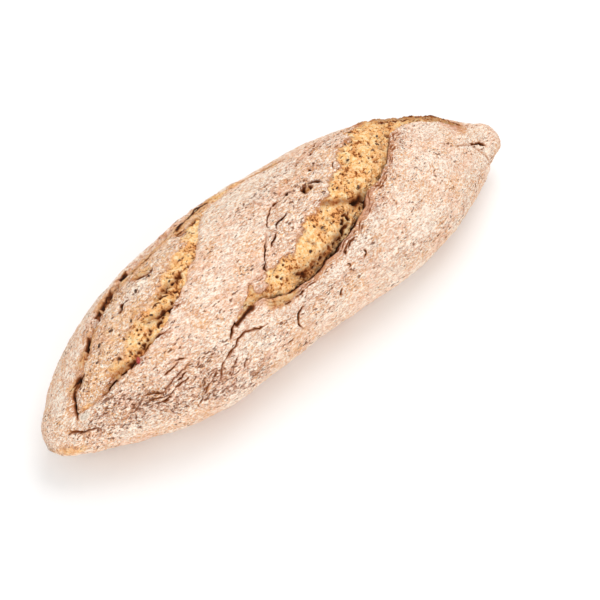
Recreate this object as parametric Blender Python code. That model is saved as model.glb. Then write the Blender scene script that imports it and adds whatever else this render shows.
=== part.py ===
"""A rustic baguette: one hand-shaped loaf with two long slashes that tore open in the oven.

The loaf lies along X on its flat underside. Every feature of the crust is placed by a crust
position: metres along X from the loaf's middle, and degrees round the loaf from its crown line,
negative towards the front (-Y). Relief is a height in metres along the crust's outward normal.
"""

import math
from collections import namedtuple

import bmesh
import bpy
import numpy as np
from mathutils import Vector, noise

# The loaf's driving sizes, in metres
LENGTH = 0.300
HALF_WIDTH = 0.0475
CROWN_HEIGHT = 0.0435  # crown above the loaf's axis, at the middle
KEEL_DEPTH = 0.034  # underside below the axis, before the oven floor flattens it
AXIS_HEIGHT_MIDDLE = 0.028
AXIS_HEIGHT_TIP = 0.016
GIRTH_RADIUS = 0.044  # turns degrees round the crust into metres across it

# The spot that the loaf stands on: a long octagon, past which the underside starts to rise
SPOT_LENGTH, SPOT_END_WIDTH = 0.180, 0.024
SPOT_WIDTH, SPOT_SIDE_LENGTH = 0.050, 0.120
UNDERSIDE_RISE = 0.05  # height gained for each metre past the spot
FLAT_WITHIN = 0.0002  # the underside's vertices this near the floor are on it

# How full the loaf is, and how far it bows towards the back, at stations along X
STATIONS = (-0.150, -0.120, -0.080, -0.040, 0.000, 0.040, 0.080, 0.120, 0.150)
FULLNESS = (0.885, 0.990, 1.055, 1.000, 0.990, 1.020, 1.030, 0.890, 0.780)
BOW = (-0.0037, -0.0016, -0.0004, 0.0020, 0.0026, 0.0020, 0.0004, 0.0000, -0.0015)

# The mesh: a dense sphere is shaped, and then thinned to the triangles that the solid keeps
RINGS = 400
SEGMENTS = 240
KEPT_TRIANGLES = 11000
OUTLINE_SAMPLES = 2000  # steps that even out the rings from tip to tip
EDGE_SAMPLES = 60  # points read from the smooth curve along a slash's edge or a crack
SIDE_STEP = 0.0001  # how far the crust's direction is felt for
SMALLEST_GIRTH = 0.15  # below this the tips' shrinking sections are no longer followed

# A slash: the two edges that its opening lies between, from its left end to its right end, and the
# heights and reaches of the lip and the crevice along its torn edge. The seam is its calmer edge.
Slash = namedtuple("Slash", "torn_edge seam lip lip_reach crevice crevice_reach")
MIDDLE_SLASH = Slash(  # its torn edge is the ear, over the front and the crown
    torn_edge=(
        (-0.056, -46), (-0.040, -43), (-0.020, -46), (0.000, -47), (0.020, -43), (0.038, -31),
        (0.055, -20), (0.068, -8), (0.078, 4), (0.092, 12), (0.108, 14), (0.121, 7), (0.130, -8),
    ),
    seam=(
        (-0.056, -46), (-0.046, -37), (-0.037, -36), (-0.030, -33), (-0.024, -23), (-0.012, -9),
        (0.000, 2), (0.014, 14), (0.030, 22), (0.044, 27), (0.056, 35), (0.070, 43),
        (0.086, 49), (0.102, 48), (0.116, 38), (0.126, 18), (0.130, -8),
    ),
    lip=0.0032, lip_reach=0.0060, crevice=0.0050, crevice_reach=0.0052,
)
LEFT_SLASH = Slash(  # torn along its back edge
    torn_edge=(
        (-0.138, -22), (-0.136, -8), (-0.132, 1), (-0.125, 9), (-0.117, 20), (-0.106, 30),
        (-0.092, 37), (-0.076, 44), (-0.058, 48), (-0.040, 52), (-0.020, 58), (-0.004, 61),
        (0.008, 57),
    ),
    seam=(
        (-0.138, -22), (-0.124, -28), (-0.112, -26), (-0.100, -23), (-0.088, -18), (-0.076, -11),
        (-0.062, -3), (-0.050, 7), (-0.040, 17), (-0.030, 32), (-0.018, 42), (-0.004, 49),
        (0.008, 57),
    ),
    lip=0.0026, lip_reach=0.0050, crevice=0.0036, crevice_reach=0.0030,
)
SEAM_DEPTH, SEAM_REACH = 0.0016, 0.0026
SEAM_ROLL = 0.5  # share of the seam's depth that the crust outside it rolls down by
CRUMB_BULGE = 0.0014
CRUMB_LUMP_SIZE, CRUMB_LUMP_HEIGHT = 0.0085, 0.0014
EDGE_SOFTNESS = 0.0011  # the crust turns down into a slash over this distance, each way
FULL_OPENING = 0.0080  # a slash narrower than this on each side of its middle is shallower
EDGE_WANDER_SIZE, EDGE_WANDER = 0.012, 0.0022  # every edge and crack wanders by this much

# Cracks and folds: depth, reach across, and the crust positions that each runs through
CRACKS = (
    (0.0020, 0.0020, (
        (-0.044, -57), (-0.052, -53), (-0.058, -53), (-0.066, -58), (-0.073, -65), (-0.075, -75),
    )),
    (0.0024, 0.0022, ((-0.050, -42), (-0.057, -46), (-0.062, -50))),
    (0.0016, 0.0016, ((-0.020, -63), (-0.025, -64), (-0.027, -68), (-0.025, -74))),
    (0.0020, 0.0020, ((-0.144, -30), (-0.140, -50), (-0.134, -58), (-0.133, -68))),
    (0.0030, 0.0024, (
        (0.113, -27), (0.121, -30), (0.128, -42), (0.133, -62), (0.136, -90), (0.139, -115),
    )),
    (0.0012, 0.0016, ((-0.103, -56), (-0.092, -50), (-0.084, -47))),
    (0.0012, 0.0016, ((-0.084, -66), (-0.075, -59), (-0.068, -56))),
)

# Gas blisters: crust position, radius and height
BLISTERS = (
    (0.024, -2, 0.0060, 0.0024),
    (0.010, 1, 0.0045, 0.0016),
    (0.002, -6, 0.0040, 0.0012),
    (-0.024, -69, 0.0060, 0.0014),
    (0.012, -57, 0.0060, 0.0012),
    (0.024, -60, 0.0050, 0.0010),
    (0.002, -59, 0.0045, 0.0010),
)

# The pinched ends, where the dough was rolled to a point: crust position, radius and height
NUBS = (
    (-0.1490, -10, 0.0150, 0.0020),
    (0.1500, -30, 0.0110, 0.0042),
)

# Unevenness of the hand-shaped crust: wavelength and height
LUMPS = ((0.050, 0.0016), (0.020, 0.0008), (0.009, 0.0004))
# Fine slanted wrinkles on the lower left of the front, in metres on the chart of the crust
WRINKLE_SIZE, WRINKLE_HEIGHT, WRINKLE_STRETCH = 0.0060, 0.0007, 3.0
WRINKLED_PLACE, WRINKLED_REACH = (-0.085, -0.042), (0.045, 0.020)

# How sharply relief runs out at its rim: a crevice, a crack or seam, a dome, a wrinkled patch
CREVICE_RIM, CRACK_RIM, DOME_RIM, PATCH_RIM = 1.6, 2.0, 3.0, 4.0

# Each kind of noise is read from a place of its own
NOISE_SHIFT = Vector((7.31, 3.17, 5.53))
WANDER_SEEDS, WRINKLE_SEED, CRUMB_SEED = (11, 12), 9, 14

CRUST_COLOR = (0.62, 0.42, 0.29, 1.0)


def smooth_curve(places, values, at):
    """Reads a natural cubic spline through (places, values) at the given places."""
    places, values = np.asarray(places, float), np.asarray(values, float)
    steps = np.diff(places)
    slopes = np.diff(values) / steps
    count = len(places)
    system, right = np.eye(count), np.zeros(count)
    for i in range(1, count - 1):
        system[i, i - 1 : i + 2] = steps[i - 1], 2 * (steps[i - 1] + steps[i]), steps[i]
        right[i] = 6 * (slopes[i] - slopes[i - 1])
    bends = np.linalg.solve(system, right)
    at = np.clip(at, places[0], places[-1])
    i = np.clip(np.searchsorted(places, at) - 1, 0, count - 2)
    step, into = steps[i], at - places[i]
    rise = slopes[i] - step * (2 * bends[i] + bends[i + 1]) / 6
    return values[i] + into * (rise + into * (bends[i] / 2 + into * (bends[i + 1] - bends[i]) / (6 * step)))


def girth(x):
    """How large the loaf's section is at x, from 0 at a tip to about 1 in the middle."""
    round_end = np.sqrt(np.clip(1 - (x / (LENGTH / 2)) ** 2, 0, 1))
    return round_end * smooth_curve(STATIONS, FULLNESS, x)


def even_stations(count):
    """Places along X, tip to tip, that stand evenly along the loaf's rounded side."""
    turn = np.linspace(0, math.pi, OUTLINE_SAMPLES)
    x, y = -LENGTH / 2 * np.cos(turn), HALF_WIDTH * np.sin(turn)
    run = np.concatenate([[0], np.cumsum(np.hypot(np.diff(x), np.diff(y)))])
    return np.interp(np.linspace(0, run[-1], count + 1), run, x)


def crust_point(x, angle):
    """The smooth crust's place at x and at this angle from the crown, in radians."""
    size = girth(x)
    round_end = np.sqrt(np.clip(1 - (x / (LENGTH / 2)) ** 2, 0, 1))
    axis_height = AXIS_HEIGHT_TIP + (AXIS_HEIGHT_MIDDLE - AXIS_HEIGHT_TIP) * round_end
    reach = np.where(np.cos(angle) > 0, CROWN_HEIGHT, KEEL_DEPTH)
    y = smooth_curve(STATIONS, BOW, x) + HALF_WIDTH * size * np.sin(angle)
    return np.stack([x, y, axis_height + reach * size * np.cos(angle)], axis=-1)


def crust_normal(x, angle):
    """The smooth crust's outward direction there, from two short steps along it."""
    inner = np.clip(x, -LENGTH / 2 + 2 * SIDE_STEP, LENGTH / 2 - 2 * SIDE_STEP)
    along = crust_point(inner + SIDE_STEP, angle) - crust_point(inner - SIDE_STEP, angle)
    turn = SIDE_STEP / GIRTH_RADIUS
    round_it = crust_point(inner, angle + turn) - crust_point(inner, angle - turn)
    outward = np.cross(along, round_it)
    return outward / np.linalg.norm(outward, axis=-1, keepdims=True)


def noise_at(points, size, seed):
    """Smooth noise from about -1 to 1 at each point, with lumps of this size."""
    return np.array([noise.noise(Vector(point) / size + seed * NOISE_SHIFT) for point in points])


def on_chart(positions):
    """Crust positions in metres along and degrees round, as metres along and metres across."""
    return np.array([(x, math.radians(degrees) * GIRTH_RADIUS) for x, degrees in positions])


def smooth_line(positions):
    """Points along a smooth curve through crust positions."""
    corners = on_chart(positions)
    gaps = np.linalg.norm(np.diff(corners, axis=0), axis=1)
    run = np.concatenate([[0], np.cumsum(gaps)])
    at = np.linspace(0, run[-1], EDGE_SAMPLES)
    return np.stack([smooth_curve(run, corners[:, i], at) for i in (0, 1)], axis=-1)


def distance_to(line, chart, narrow):
    """Distance of each chart point from a line, and how far along the line it is, from 0 to 1.

    narrow is how much the loaf's taper shrinks distances across it there.
    """
    nearest = np.full(len(chart), np.inf)
    along = np.zeros(len(chart))
    spans = len(line) - 1
    for i in range(spans):
        start, run = line[i], line[i + 1] - line[i]
        gap = chart - start
        reach = run[0] ** 2 + (narrow * run[1]) ** 2
        share = np.clip((gap[:, 0] * run[0] + narrow**2 * gap[:, 1] * run[1]) / reach, 0, 1)
        away = np.hypot(gap[:, 0] - share * run[0], narrow * (gap[:, 1] - share * run[1]))
        closer = away < nearest
        nearest = np.where(closer, away, nearest)
        along = np.where(closer, (i + share) / spans, along)
    return nearest, along


def inside(loop, chart):
    """Whether each chart point lies inside a closed loop."""
    crossings = np.zeros(len(chart), bool)
    for (x0, y0), (x1, y1) in zip(loop, np.roll(loop, -1, axis=0)):
        spans = (y0 > chart[:, 1]) != (y1 > chart[:, 1])
        rise = (chart[:, 1] - y0) / (y1 - y0 if y1 != y0 else 1.0)
        crossings ^= spans & (chart[:, 0] < x0 + rise * (x1 - x0))
    return crossings


def fading(distance, reach, power=1.0):
    """1 at a line, falling smoothly to 0 a few reaches away."""
    return np.exp(-((distance / reach) ** power))


def slash_relief(slash, crumb_lumps, chart, narrow):
    """Height of a slash: a lip and a crevice at its torn edge, a seam at the other, crumb between."""
    torn_line, seam_line = smooth_line(slash.torn_edge), smooth_line(slash.seam)
    to_torn, along = distance_to(torn_line, chart, narrow)
    to_seam, _ = distance_to(seam_line, chart, narrow)
    open_by = np.clip((to_torn + to_seam) / 2 / FULL_OPENING, 0, 1)
    middle = np.sqrt(np.sin(math.pi * along))
    share = to_seam / np.maximum(to_seam + to_torn, SIDE_STEP)
    seam_dip = SEAM_DEPTH * fading(to_seam, SEAM_REACH, CRACK_RIM)
    crevice = slash.crevice * fading(to_torn, slash.crevice_reach, CREVICE_RIM)
    crumb = np.sin(math.pi * share) * (CRUMB_BULGE + crumb_lumps)
    crust = np.where(share > 0.5, slash.lip * middle * fading(to_torn, slash.lip_reach), 0)
    crust -= SEAM_ROLL * seam_dip
    within = inside(np.concatenate([torn_line, seam_line[::-1]]), chart)
    past_edge = np.where(within, 1, -1) * np.minimum(to_torn, to_seam) / EDGE_SOFTNESS
    crumb_share = 0.5 + 0.5 * np.sin(0.5 * math.pi * np.clip(past_edge, -1, 1))
    return crust + crumb_share * (open_by * (crumb - crevice - seam_dip) - crust)


def crack_relief(chart, narrow):
    """Height of all cracks and folds."""
    height = np.zeros(len(chart))
    for depth, reach, positions in CRACKS:
        away, along = distance_to(smooth_line(positions), chart, narrow)
        height -= depth * np.sqrt(np.sin(math.pi * along)) * fading(away, reach, CRACK_RIM)
    return height


def bump_relief(bumps, chart, narrow):
    """Height of round bumps, each a dome that runs out smoothly at its rim."""
    height = np.zeros(len(chart))
    for x, degrees, radius, rise in bumps:
        centre = on_chart([(x, degrees)])[0]
        away = np.hypot(chart[:, 0] - centre[0], narrow * (chart[:, 1] - centre[1]))
        height += rise * fading(away, radius, DOME_RIM)
    return height


def lump_relief(points, chart):
    """Height of the hand-shaped crust's lumps, and of the fine wrinkles on the lower left flank."""
    height = sum(rise * noise_at(points, size, seed) for seed, (size, rise) in enumerate(LUMPS))
    along, across = chart.T
    slanted = np.stack([along - across, WRINKLE_STRETCH * (along + across), 0 * along], axis=-1)
    wrinkled = WRINKLE_HEIGHT * noise_at(slanted, WRINKLE_SIZE, WRINKLE_SEED)
    for place, middle, reach in zip((along, across), WRINKLED_PLACE, WRINKLED_REACH):
        wrinkled *= fading(np.abs(place - middle), reach, PATCH_RIM)
    return height + wrinkled


def crust_relief(x, angle, points):
    """Height of the whole crust's relief at each point."""
    narrow = np.maximum(girth(x), SMALLEST_GIRTH)
    chart = np.stack([x, angle * GIRTH_RADIUS], axis=-1)
    height = lump_relief(points, chart)
    for axis, seed in enumerate(WANDER_SEEDS):
        chart[:, axis] += EDGE_WANDER * noise_at(points, EDGE_WANDER_SIZE, seed)
    crumb_lumps = CRUMB_LUMP_HEIGHT * noise_at(points, CRUMB_LUMP_SIZE, CRUMB_SEED)
    for slash in (MIDDLE_SLASH, LEFT_SLASH):
        height += slash_relief(slash, crumb_lumps, chart, narrow)
    height += crack_relief(chart, narrow)
    return height + bump_relief(BLISTERS + NUBS, chart, narrow)


def make_loaf_mesh():
    """The loaf as a sphere with its poles at the tips, moved ring by ring onto the crust."""
    shape = bmesh.new()
    bmesh.ops.create_uvsphere(shape, u_segments=SEGMENTS, v_segments=RINGS, radius=1.0)
    ball = np.array([vertex.co for vertex in shape.verts])
    ring = np.arccos(np.clip(-ball[:, 2], -1, 1)) / math.pi * RINGS
    x = np.interp(ring, np.arange(RINGS + 1), even_stations(RINGS))
    angle = np.arctan2(ball[:, 1], ball[:, 0])
    points = crust_point(x, angle)
    height = crust_relief(x, angle, points)
    points += crust_normal(x, angle) * height[:, None]
    for vertex, place in zip(shape.verts, points):
        vertex.co = place
    shape.normal_update()
    bmesh.ops.recalc_face_normals(shape, faces=shape.faces)
    mesh = bpy.data.meshes.new("loaf")
    shape.to_mesh(mesh)
    shape.free()
    return mesh


def spot_corners():
    """The corners of the spot that the loaf stands on, counter-clockwise from above."""
    front_half = [
        (-SPOT_LENGTH / 2, -SPOT_END_WIDTH / 2), (-SPOT_SIDE_LENGTH / 2, -SPOT_WIDTH / 2),
        (SPOT_SIDE_LENGTH / 2, -SPOT_WIDTH / 2), (SPOT_LENGTH / 2, -SPOT_END_WIDTH / 2),
    ]
    return np.array(front_half + [(-x, -y) for x, y in front_half])


def past_spot(places):
    """How far each place lies outside the spot, and less than 0 inside it."""
    corners = spot_corners()
    past = np.full(len(places), -np.inf)
    for corner, following in zip(corners, np.roll(corners, -1, axis=0)):
        along = (following - corner) / np.linalg.norm(following - corner)
        outward = np.array([along[1], -along[0]])
        past = np.maximum(past, (places[:, :2] - corner) @ outward)
    return past


def stand_on_floor(mesh):
    """Centres the loaf over the origin and presses its underside flat on z = 0 within the spot."""
    places = np.array([vertex.co for vertex in mesh.vertices])
    middle = (places.min(axis=0) + places.max(axis=0)) / 2
    places[:, :2] -= middle[:2]
    past = past_spot(places)
    places[:, 2] = np.maximum(places[:, 2], UNDERSIDE_RISE * np.maximum(past, 0))
    places[(past < 0) & (places[:, 2] < FLAT_WITHIN), 2] = 0
    mesh.vertices.foreach_set("co", places.ravel())
    mesh.update()


def square_up_spot(mesh):
    """Moves the nearest low vertex onto each corner of the spot, so that the loaf rests steadily."""
    for x, y in spot_corners():
        corner = Vector((x, y, 0))
        low = [vertex for vertex in mesh.vertices if vertex.co.z < SPOT_END_WIDTH * UNDERSIDE_RISE]
        min(low, key=lambda vertex: (vertex.co - corner).length).co = corner
    mesh.update()


def thin_out(loaf):
    """Keeps the triangles where the crust bends, and far fewer where it is plain."""
    decimate = loaf.modifiers.new("keep the relief", "DECIMATE")
    faces = 2 * SEGMENTS * (RINGS - 1)
    decimate.ratio = KEPT_TRIANGLES / faces
    graph = bpy.context.evaluated_depsgraph_get()
    thinned = bpy.data.meshes.new_from_object(loaf.evaluated_get(graph))
    loaf.modifiers.remove(decimate)
    dense = loaf.data
    loaf.data = thinned
    bpy.data.meshes.remove(dense)
    thinned.name = "loaf"


def crust_material():
    """Floury crust: matt and pale brown."""
    material = bpy.data.materials.new("floury crust")
    material.use_nodes = True
    finish = material.node_tree.nodes["Principled BSDF"]
    finish.inputs["Base Color"].default_value = CRUST_COLOR
    finish.inputs["Roughness"].default_value = 0.85
    finish.inputs["Metallic"].default_value = 0.0
    return material


def main():
    """Clears the scene and builds the loaf."""
    for thing in list(bpy.data.objects):
        bpy.data.objects.remove(thing)
    collection = bpy.data.collections.new("Baguette")
    bpy.context.scene.collection.children.link(collection)
    mesh = make_loaf_mesh()
    stand_on_floor(mesh)
    loaf = bpy.data.objects.new("loaf", mesh)
    collection.objects.link(loaf)
    bpy.context.view_layer.update()
    thin_out(loaf)
    stand_on_floor(loaf.data)
    square_up_spot(loaf.data)
    loaf.data.materials.append(crust_material())
    loaf.data.shade_smooth()


main()
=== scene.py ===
"""The looks of a rustic baguette: floury crust, two torn slashes with golden crumb, dark grains.

Every feature of the loaf is placed by a crust position: metres along X from the loaf's middle, and
degrees round the loaf from its crown line, negative towards the front (-Y). On the chart, degrees
are turned into metres across. Relief is a height in metres along the crust's outward direction.
The tables of marks give places along X and lengths in tenths of a millimetre.
"""

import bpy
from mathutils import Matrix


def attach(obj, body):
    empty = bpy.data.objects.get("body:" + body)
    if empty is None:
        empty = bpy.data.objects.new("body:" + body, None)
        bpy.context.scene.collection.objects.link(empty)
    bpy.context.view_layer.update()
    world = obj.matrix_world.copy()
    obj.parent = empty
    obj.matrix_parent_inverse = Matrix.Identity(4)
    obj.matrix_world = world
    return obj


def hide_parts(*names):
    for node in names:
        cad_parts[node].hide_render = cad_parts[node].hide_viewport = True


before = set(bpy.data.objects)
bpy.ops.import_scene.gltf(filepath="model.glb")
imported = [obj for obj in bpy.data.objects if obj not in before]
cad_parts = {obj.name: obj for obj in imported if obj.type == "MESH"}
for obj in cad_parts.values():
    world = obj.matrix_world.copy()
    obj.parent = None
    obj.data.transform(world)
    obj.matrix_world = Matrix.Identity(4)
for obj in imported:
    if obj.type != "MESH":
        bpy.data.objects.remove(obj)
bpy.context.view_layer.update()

import logging
import math
from dataclasses import dataclass, field
from enum import Enum

import bpy
import numpy as np
from mathutils import Matrix, Vector, noise

Stops = tuple[tuple[float, float], ...]
NODE, BODY, SLOT = "loaf", "root", "crust"
NOISE_SHIFT = np.array((7.31, 3.17, 5.53))  # each kind of noise is read from a place of its own
FAR = 1.0  # the distance given to places that are too far from a line to matter
LINE_SEARCH, SLASH_SEARCH = 0.016, 0.060  # how far from a line, and from a slash, places are measured
STROKE_REACHES = 3  # a painted line is measured this many of its reaches away, if that is further
SIDE_STEP = 0.0001  # how far the crust's direction is felt for
LEAST_LENGTH = 1e-12  # keeps a division by a length from failing
MERGE_DISTANCE, LEAST_EDGE = 0.000005, 0.000001  # how close points are joined when a form is closed
LINE_STEP, LEAST_SAMPLES = 0.0020, 12  # how closely points are read from the smooth curve of a line
CREVICE_RIM, CRACK_RIM, DOME_RIM, PATCH_RIM = 1.6, 2.0, 3.0, 4.0  # how sharply relief runs out


class Paint(Enum):
    """What is painted on the surface from place to place, its own colour and painted shade, each kept as an
    attribute from 0 to 1.
    """

    PAINTED_SHADE = "gap"  # painted shade, deep in cracks, crevices, pores and hollows
    BAKED_AND_SHADE = "baked"  # browned by the oven, and painted shade in dips of the crumb, around its cracks and down the slash walls
    BARE = "bare"  # free of flour
    GOLD = "gold"  # golden torn crumb
    FLAKED = "flaked"  # dry skin that has crazed and flaked


# ---------------------------------------------------------------- reading curves, noise and lines


def smooth_curve(places: np.ndarray, values: np.ndarray, at: np.ndarray) -> np.ndarray:
    """Reads a natural cubic spline.

    Args:
        places: rising places that the spline passes.
        values: its values there.
        at: the places to read it at.

    Returns:
        The spline's value at each place.
    """
    places, values = np.asarray(places, float), np.asarray(values, float)
    steps = np.diff(places)
    slopes = np.diff(values) / steps
    count = len(places)
    system, right = np.eye(count), np.zeros(count)
    for i in range(1, count - 1):
        system[i, i - 1 : i + 2] = steps[i - 1], 2 * (steps[i - 1] + steps[i]), steps[i]
        right[i] = 6 * (slopes[i] - slopes[i - 1])
    bends = np.linalg.solve(system, right)
    at = np.clip(at, places[0], places[-1])
    i = np.clip(np.searchsorted(places, at) - 1, 0, count - 2)
    step, into = steps[i], at - places[i]
    rise = slopes[i] - step * (2 * bends[i] + bends[i + 1]) / 6
    return values[i] + into * (rise + into * (bends[i] / 2 + into * (bends[i + 1] - bends[i]) / (6 * step)))


def noise_at(points: np.ndarray, size: float, seed: int) -> np.ndarray:
    """Smooth noise from about -1 to 1 at each point.

    Args:
        points: places, one to a row.
        size: how large its lumps are, in metres.
        seed: which noise it is.

    Returns:
        One value for each point.
    """
    places = (points / size + seed * NOISE_SHIFT).tolist()
    return np.fromiter(map(noise.noise, places), float, len(places))


def layered_noise(points: np.ndarray, layers: Stops, seed: int) -> np.ndarray:
    """The sum of layers of noise, each with its size and its height."""
    return sum(rise * noise_at(points, size, seed + step) for step, (size, rise) in enumerate(layers))


def frayed(chart: np.ndarray, points: np.ndarray, layers: Stops, seed: int) -> np.ndarray:
    """Moves chart points about by noise, so that what is read there has ragged edges.

    Args:
        chart: metres along and metres across, one place to a row.
        points: the places in space that the noise is read at.
        layers: the size and the amount of each layer of noise.
        seed: which noise comes first.

    Returns:
        The moved chart points.
    """
    moved = chart.copy()
    for step, (size, amount) in enumerate(layers):
        for axis in (0, 1):
            moved[:, axis] += amount * noise_at(points, size, seed + 2 * step + axis)
    return moved


def fading(distance: np.ndarray, reach: float, power: float = 1.0) -> np.ndarray:
    """1 at a line, falling smoothly to 0 a few reaches away."""
    return np.exp(-((distance / reach) ** power))


def eased(value: np.ndarray, low: float, high: float) -> np.ndarray:
    """0 below low, 1 above high, and a smooth step between."""
    share = np.clip((value - low) / (high - low), 0, 1)
    return share * share * (3 - 2 * share)


def inside(loop: np.ndarray, chart: np.ndarray) -> np.ndarray:
    """Whether each chart point lies inside a closed loop.

    Args:
        loop: the corners of the loop, on the chart.
        chart: the points, one to a row.

    Returns:
        True for each point inside.
    """
    crossings = np.zeros(len(chart), bool)
    for (x0, y0), (x1, y1) in zip(loop, np.roll(loop, -1, axis=0)):
        spans = (y0 > chart[:, 1]) != (y1 > chart[:, 1])
        rise = (chart[:, 1] - y0) / (y1 - y0 if y1 != y0 else 1.0)
        crossings ^= spans & (chart[:, 0] < x0 + rise * (x1 - x0))
    return crossings


# ---------------------------------------------------------------- the loaf's form and its places


@dataclass
class Places:
    """Many places on the smooth crust, and what the relief there is worked out from."""

    chart: np.ndarray
    wandered: np.ndarray
    narrow: np.ndarray
    point: np.ndarray
    along: np.ndarray
    round_it: np.ndarray
    outward: np.ndarray


@dataclass(frozen=True)
class LoafForm:
    """The smooth loaf under all relief: a spindle that bows a little and stands on a flat spot."""

    length: float = 0.300
    half_width: float = 0.0475
    crown_height: float = 0.0435
    keel_depth: float = 0.034
    axis_height_middle: float = 0.028
    axis_height_tip: float = 0.016
    girth_radius: float = 0.044
    smallest_girth: float = 0.15
    stations: tuple[float, ...] = (-0.150, -0.120, -0.080, -0.040, 0.000, 0.040, 0.080, 0.120, 0.150)
    fullness: tuple[float, ...] = (0.885, 0.990, 1.055, 1.000, 0.990, 1.020, 1.030, 0.890, 0.780)
    bow: tuple[float, ...] = (-0.0037, -0.0016, -0.0004, 0.0020, 0.0026, 0.0020, 0.0004, 0.0000, -0.0015)
    spot_length: float = 0.180
    spot_end_width: float = 0.024
    spot_width: float = 0.050
    spot_side_length: float = 0.120
    underside_rise: float = 0.05
    wander: Stops = ((0.012, 0.0022), (0.0034, 0.0006), (0.0013, 0.0003))
    wander_seed: int = 11

    def round_end(self, x: np.ndarray) -> np.ndarray:
        """The share of the full section left at x by the rounding towards the tips."""
        return np.sqrt(np.clip(1 - (x / (self.length / 2)) ** 2, 0, 1))

    def girth(self, x: np.ndarray) -> np.ndarray:
        """How large the loaf's section is at x, from 0 at a tip to about 1 in the middle."""
        return self.round_end(x) * smooth_curve(self.stations, self.fullness, x)

    def even_stations(self, count: int, samples: int = 2000) -> np.ndarray:
        """Places along X, tip to tip, that stand evenly along the loaf's rounded side.

        Args:
            count: how many places.
            samples: how closely the side is measured.

        Returns:
            The places along X.
        """
        turn = np.linspace(0, math.pi, samples)
        x, y = -self.length / 2 * np.cos(turn), self.half_width * np.sin(turn)
        run = np.concatenate([[0], np.cumsum(np.hypot(np.diff(x), np.diff(y)))])
        return np.interp(np.linspace(0, run[-1], count), run, x)

    def point(self, x: np.ndarray, angle: np.ndarray) -> np.ndarray:
        """The smooth crust's place at x and at this angle from the crown, in radians.

        Args:
            x: metres along.
            angle: radians from the crown.

        Returns:
            The points, one to a row.
        """
        size = self.girth(x)
        axis = self.axis_height_tip + (self.axis_height_middle - self.axis_height_tip) * self.round_end(x)
        reach = np.where(np.cos(angle) > 0, self.crown_height, self.keel_depth)
        y = smooth_curve(self.stations, self.bow, x) + self.half_width * size * np.sin(angle)
        return np.stack([x, y, axis + reach * size * np.cos(angle)], axis=-1)

    def on_chart(self, stops: Stops) -> np.ndarray:
        """Crust positions as metres along and metres across."""
        return np.array([(x, math.radians(degrees) * self.girth_radius) for x, degrees in stops])

    def places(self, chart: np.ndarray) -> Places:
        """Works out all that the relief needs at chart points.

        Args:
            chart: metres along and metres across, one place to a row.

        Returns:
            The places on the smooth crust.
        """
        x, angle = chart[:, 0], chart[:, 1] / self.girth_radius
        inner = np.clip(x, -self.length / 2 + 2 * SIDE_STEP, self.length / 2 - 2 * SIDE_STEP)
        turn = SIDE_STEP / self.girth_radius
        along = self.point(inner + SIDE_STEP, angle) - self.point(inner - SIDE_STEP, angle)
        round_it = self.point(inner, angle + turn) - self.point(inner, angle - turn)
        outward = np.cross(along, round_it)
        outward /= np.linalg.norm(outward, axis=-1, keepdims=True)
        point = self.point(x, angle)
        wandered = frayed(chart, point, self.wander, self.wander_seed)
        narrow = np.maximum(self.girth(x), self.smallest_girth)
        return Places(chart, wandered, narrow, point, along, round_it, outward)

    def spot_corners(self) -> np.ndarray:
        """The corners of the spot that the loaf stands on, counter-clockwise from above.

        Returns:
            X and Y of each corner.
        """
        end, end_width = self.spot_length / 2, self.spot_end_width / 2
        side, width = self.spot_side_length / 2, self.spot_width / 2
        front_half = [(-end, -end_width), (-side, -width), (side, -width), (end, -end_width)]
        return np.array(front_half + [(-x, -y) for x, y in front_half])

    def stand(self, points: np.ndarray, middle: np.ndarray) -> np.ndarray:
        """Moves points so that the loaf lies over the origin with its underside pressed flat.

        Args:
            points: places of the loaf as built.
            middle: the middle of the loaf's box as built.

        Returns:
            The places on the floor.
        """
        points = points - np.array((middle[0], middle[1], 0))
        corners = self.spot_corners()
        past = np.full(len(points), -np.inf)
        for corner, following in zip(corners, np.roll(corners, -1, axis=0)):
            along = (following - corner) / np.linalg.norm(following - corner)
            past = np.maximum(past, (points[:, :2] - corner) @ np.array([along[1], -along[0]]))
        points[:, 2] = np.maximum(points[:, 2], self.underside_rise * np.maximum(past, 0))
        return points


FORM = LoafForm()
FULL_TURN = 2 * math.pi * FORM.girth_radius  # once round the loaf, on the chart


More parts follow.
